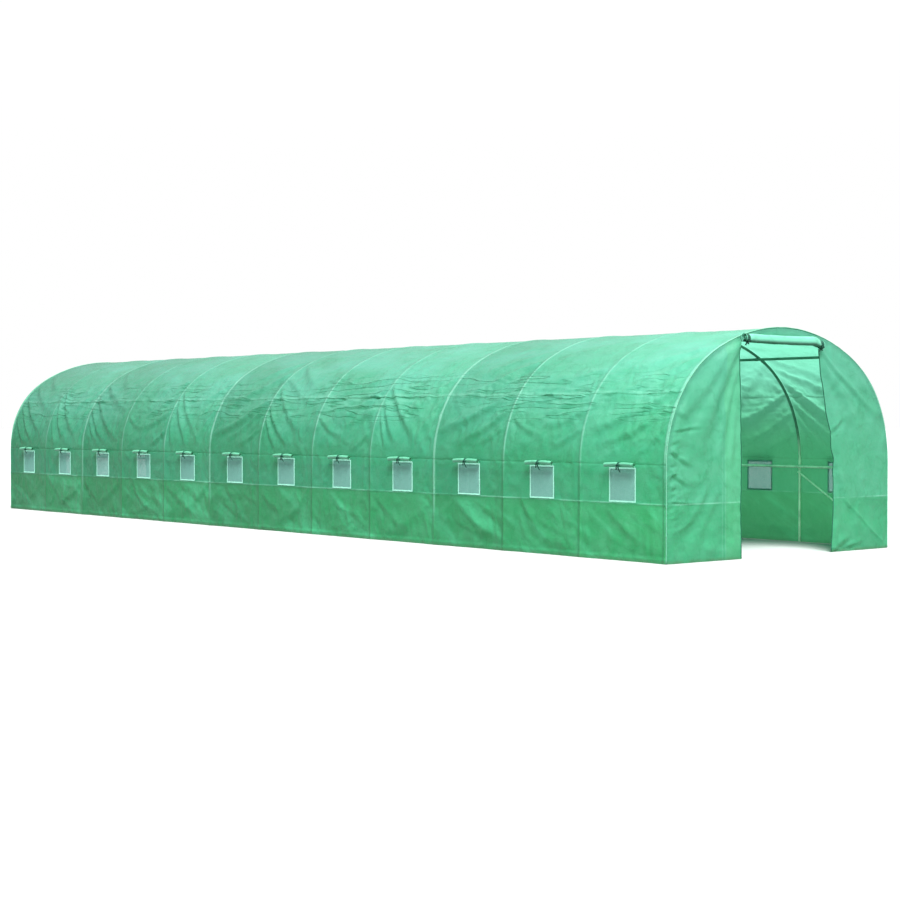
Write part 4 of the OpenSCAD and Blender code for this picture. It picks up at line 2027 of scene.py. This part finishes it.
    def tie(self, index: int, at: float) -> bpy.types.Object:
        """A strap round the rolled door, with hanging tails.

        Args:
            index: The strap's number, from 1.
            at: Its place across the gable.

        Returns:
            The strap.
        """
        tunnel = self.tunnel
        turn = np.linspace(0, 2 * math.pi, 33)
        wide = np.linspace(-0.014, 0.014, 4)
        x, a = np.meshgrid(wide, turn, indexing="ij")
        out, z = self.roll_centre(np.full(x.shape, at))
        radius = tunnel.roll_d / 2 * 0.74
        points = self.place(
            at + x, out + (radius + 0.002) * np.cos(a) * 0.97, z + (radius + 0.002) * np.sin(a)
        )
        band = make_sheet("band", points)
        apply_modifier(band, "SOLIDIFY", thickness=0.002, offset=0.0)
        parts = [band]
        middle_out, middle_z = (float(v[0]) for v in self.roll_centre(np.array([at])))
        for side, drop, swing in ((-1, 0.046, 0.012), (1, 0.036, 0.018), (1, 0.026, -0.010)):
            t = np.linspace(0, 1, 12)
            path_x = at + side * (0.003 + swing * t) + 0.005 * np.sin(6 * t + side)
            path_z = middle_z - radius * 0.55 - drop * t
            path_out = middle_out + radius * 0.9 - 0.028 * t + 0.004 * np.sin(7 * t)
            half = 0.010 - 0.002 * t
            low = self.place(path_x - half, path_out, path_z)
            high = self.place(path_x + half, path_out + 0.003, path_z)
            tail = make_sheet("tail", np.stack([low, high], 1))
            apply_modifier(tail, "SOLIDIFY", thickness=0.0018, offset=0.0)
            parts.append(tail)
        piece = join(f"{self.prefix}_door_tie_{index}", parts)
        nodes = [f"{self.prefix}_door_ties"] if index == 1 else []
        return dress(piece, self.palette.strap, nodes)

    def welt(self) -> bpy.types.Object:
        """The corded seam along the corner between the cover and the gable.

        Returns:
            The seam.
        """
        section = self.tunnel.section
        whole = 2 * section.half_l
        marks = [0.0, section.leg_h, section.half_l, whole - section.leg_h, whole]
        s = graded(marks, 0.03)
        x, z, nx, nz = section.locate(s)
        inset = -0.004
        wave = 0.0026 * Noise(331)(s * 13.0, 0.2 * s)
        path = self.place(x + nx * (inset + wave), np.full(s.shape, -0.001), z + nz * (inset + wave))
        path[:, 2] = np.maximum(path[:, 2], self.welt_r * 0.2)
        piece = sweep(f"{self.prefix}_corner_welt", path, self.welt_r, 8)
        for vertex in piece.data.vertices:
            vertex.co.z = max(vertex.co.z, 0.0)
        return dress(piece, self.palette.welt)

    def zips(self) -> None:
        """The zip tapes along the door edges of the two panels."""
        tunnel = self.tunnel
        levels = np.linspace(0.004, tunnel.door_h - 0.02, 70)
        for side in (-1, 1):
            edge = self.door_edge(side, levels)
            room = self.room_to_hoop(edge, levels)
            out = self.panel_relief(side, edge, levels, room)
            rows = []
            for gap, lift in ((-0.003, 0.000), (0.000, 0.0030), (0.004, 0.0035), (0.007, 0.0020)):
                rows.append(self.place(side * (edge + gap), out + lift, levels))
            tape = make_sheet("tape", np.stack(rows, 1))
            apply_modifier(tape, "SOLIDIFY", thickness=0.0016, offset=0.0)
            face_outwards(tape)
            word = "right" if side > 0 else "left"
            dress(join(f"{self.prefix}_door_zip_{word}", [tape]), self.palette.zip)

    def build(self) -> None:
        """Builds every piece of the gable."""
        for side in (-1, 1):
            self.panel(side)
        self.header()
        for index, at in enumerate((-1, 1), start=1):
            self.tie(index, self.roll_shift + at * self.tie_share * self.roll_l / 2)
        self.roll()
        self.welt()
        self.zips()


@dataclass
class Skeleton:
    """The tube frame, which keeps its shapes from the frame and takes its finish here."""

    palette: Palette
    tubes: tuple[str, ...] = (
        "legs_left", "legs_right", "side_arcs_left", "side_arcs_right", "crown_arcs_left",
        "crown_arcs_right", "ridge_rail", "left_purlin", "right_purlin", "left_side_rail",
        "right_side_rail", "corner_braces", "rail_clips",
    )

    def dress(self, nodes: dict[str, bpy.types.Object]) -> None:
        """Puts the tube finish on the frame's own nodes.

        Args:
            nodes: The frame's nodes by name.
        """
        for name in self.tubes:
            piece = nodes[name]
            if not piece.data.materials:
                piece.data.materials.append(self.palette.tube)
            for slot in piece.material_slots:
                slot.material = self.palette.tube
            LOG.info("%s dressed", name)


@dataclass(frozen=True)
class Studio:
    """Floor, light and camera."""

    palette: Palette
    camera_at: Place = (-12.037, -15.841, 1.1805)
    heading: float = math.radians(39.894)
    pitch: float = math.radians(-0.961)
    lens: float = 69.79
    floor_size: float = 400.0

    def floor(self) -> None:
        """The pale floor."""
        deselect()
        bpy.ops.mesh.primitive_plane_add(size=self.floor_size, location=(0, 0, -0.002))
        floor = bpy.context.active_object
        floor.name = "studio_floor"
        floor.data.materials.append(self.palette.floor)

    def lights(self) -> None:
        """A white surrounding and one broad, high light."""
        world = bpy.data.worlds.new("studio_white")
        bpy.context.scene.world = world
        world.use_nodes = True
        back = world.node_tree.nodes["Background"]
        nodes, links = world.node_tree.nodes, world.node_tree.links
        look = nodes.new("ShaderNodeTexCoord")
        parts = nodes.new("ShaderNodeSeparateXYZ")
        rise = nodes.new("ShaderNodeMapRange")
        rise.interpolation_type = "SMOOTHSTEP"
        for name, value in (("From Min", 0.14), ("From Max", 0.75), ("To Min", 1.0), ("To Max", 1.5)):
            rise.inputs[name].default_value = value
        links.new(look.outputs["Generated"], parts.inputs[0])
        links.new(parts.outputs[2], rise.inputs["Value"])
        links.new(rise.outputs["Result"], back.inputs["Strength"])
        back.inputs["Color"].default_value = (1.0, 1.0, 1.0, 1.0)
        deselect()
        bpy.ops.object.light_add(type="SUN", rotation=(math.radians(36), 0.0, math.radians(-31)))
        key = bpy.context.active_object
        key.data.energy = 14.2
        key.data.angle = math.radians(26)

    def camera(self) -> None:
        """The camera at the view that shows the front gable and the left wall."""
        deselect()
        bpy.ops.object.camera_add(
            location=self.camera_at, rotation=(math.pi / 2 + self.pitch, 0.0, -self.heading)
        )
        camera = bpy.context.active_object
        camera.data.lens = self.lens
        camera.data.sensor_width = 36.0
        camera.data.clip_end = 500.0
        bpy.context.scene.camera = camera

    def build(self) -> None:
        """Sets up the studio."""
        self.floor()
        self.lights()
        self.camera()
        bpy.context.scene.view_settings.view_transform = "Standard"


def main() -> None:
    """Builds the tunnel around its frame, sub-assembly by sub-assembly."""
    logging.basicConfig(level=logging.INFO, format="%(name)s: %(message)s")
    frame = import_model()
    tunnel = Tunnel.from_frame()
    palette = Palette.build(tunnel)
    drape = Drape(tunnel)
    Studio(palette).build()
    Skeleton(palette).dress(frame["nodes"])
    Cover(tunnel, drape, palette).build()
    Windows(tunnel, drape, palette).build()
    for end in End:
        Gable(tunnel, palette, end).build()


if __name__ == "__main__":
    main()
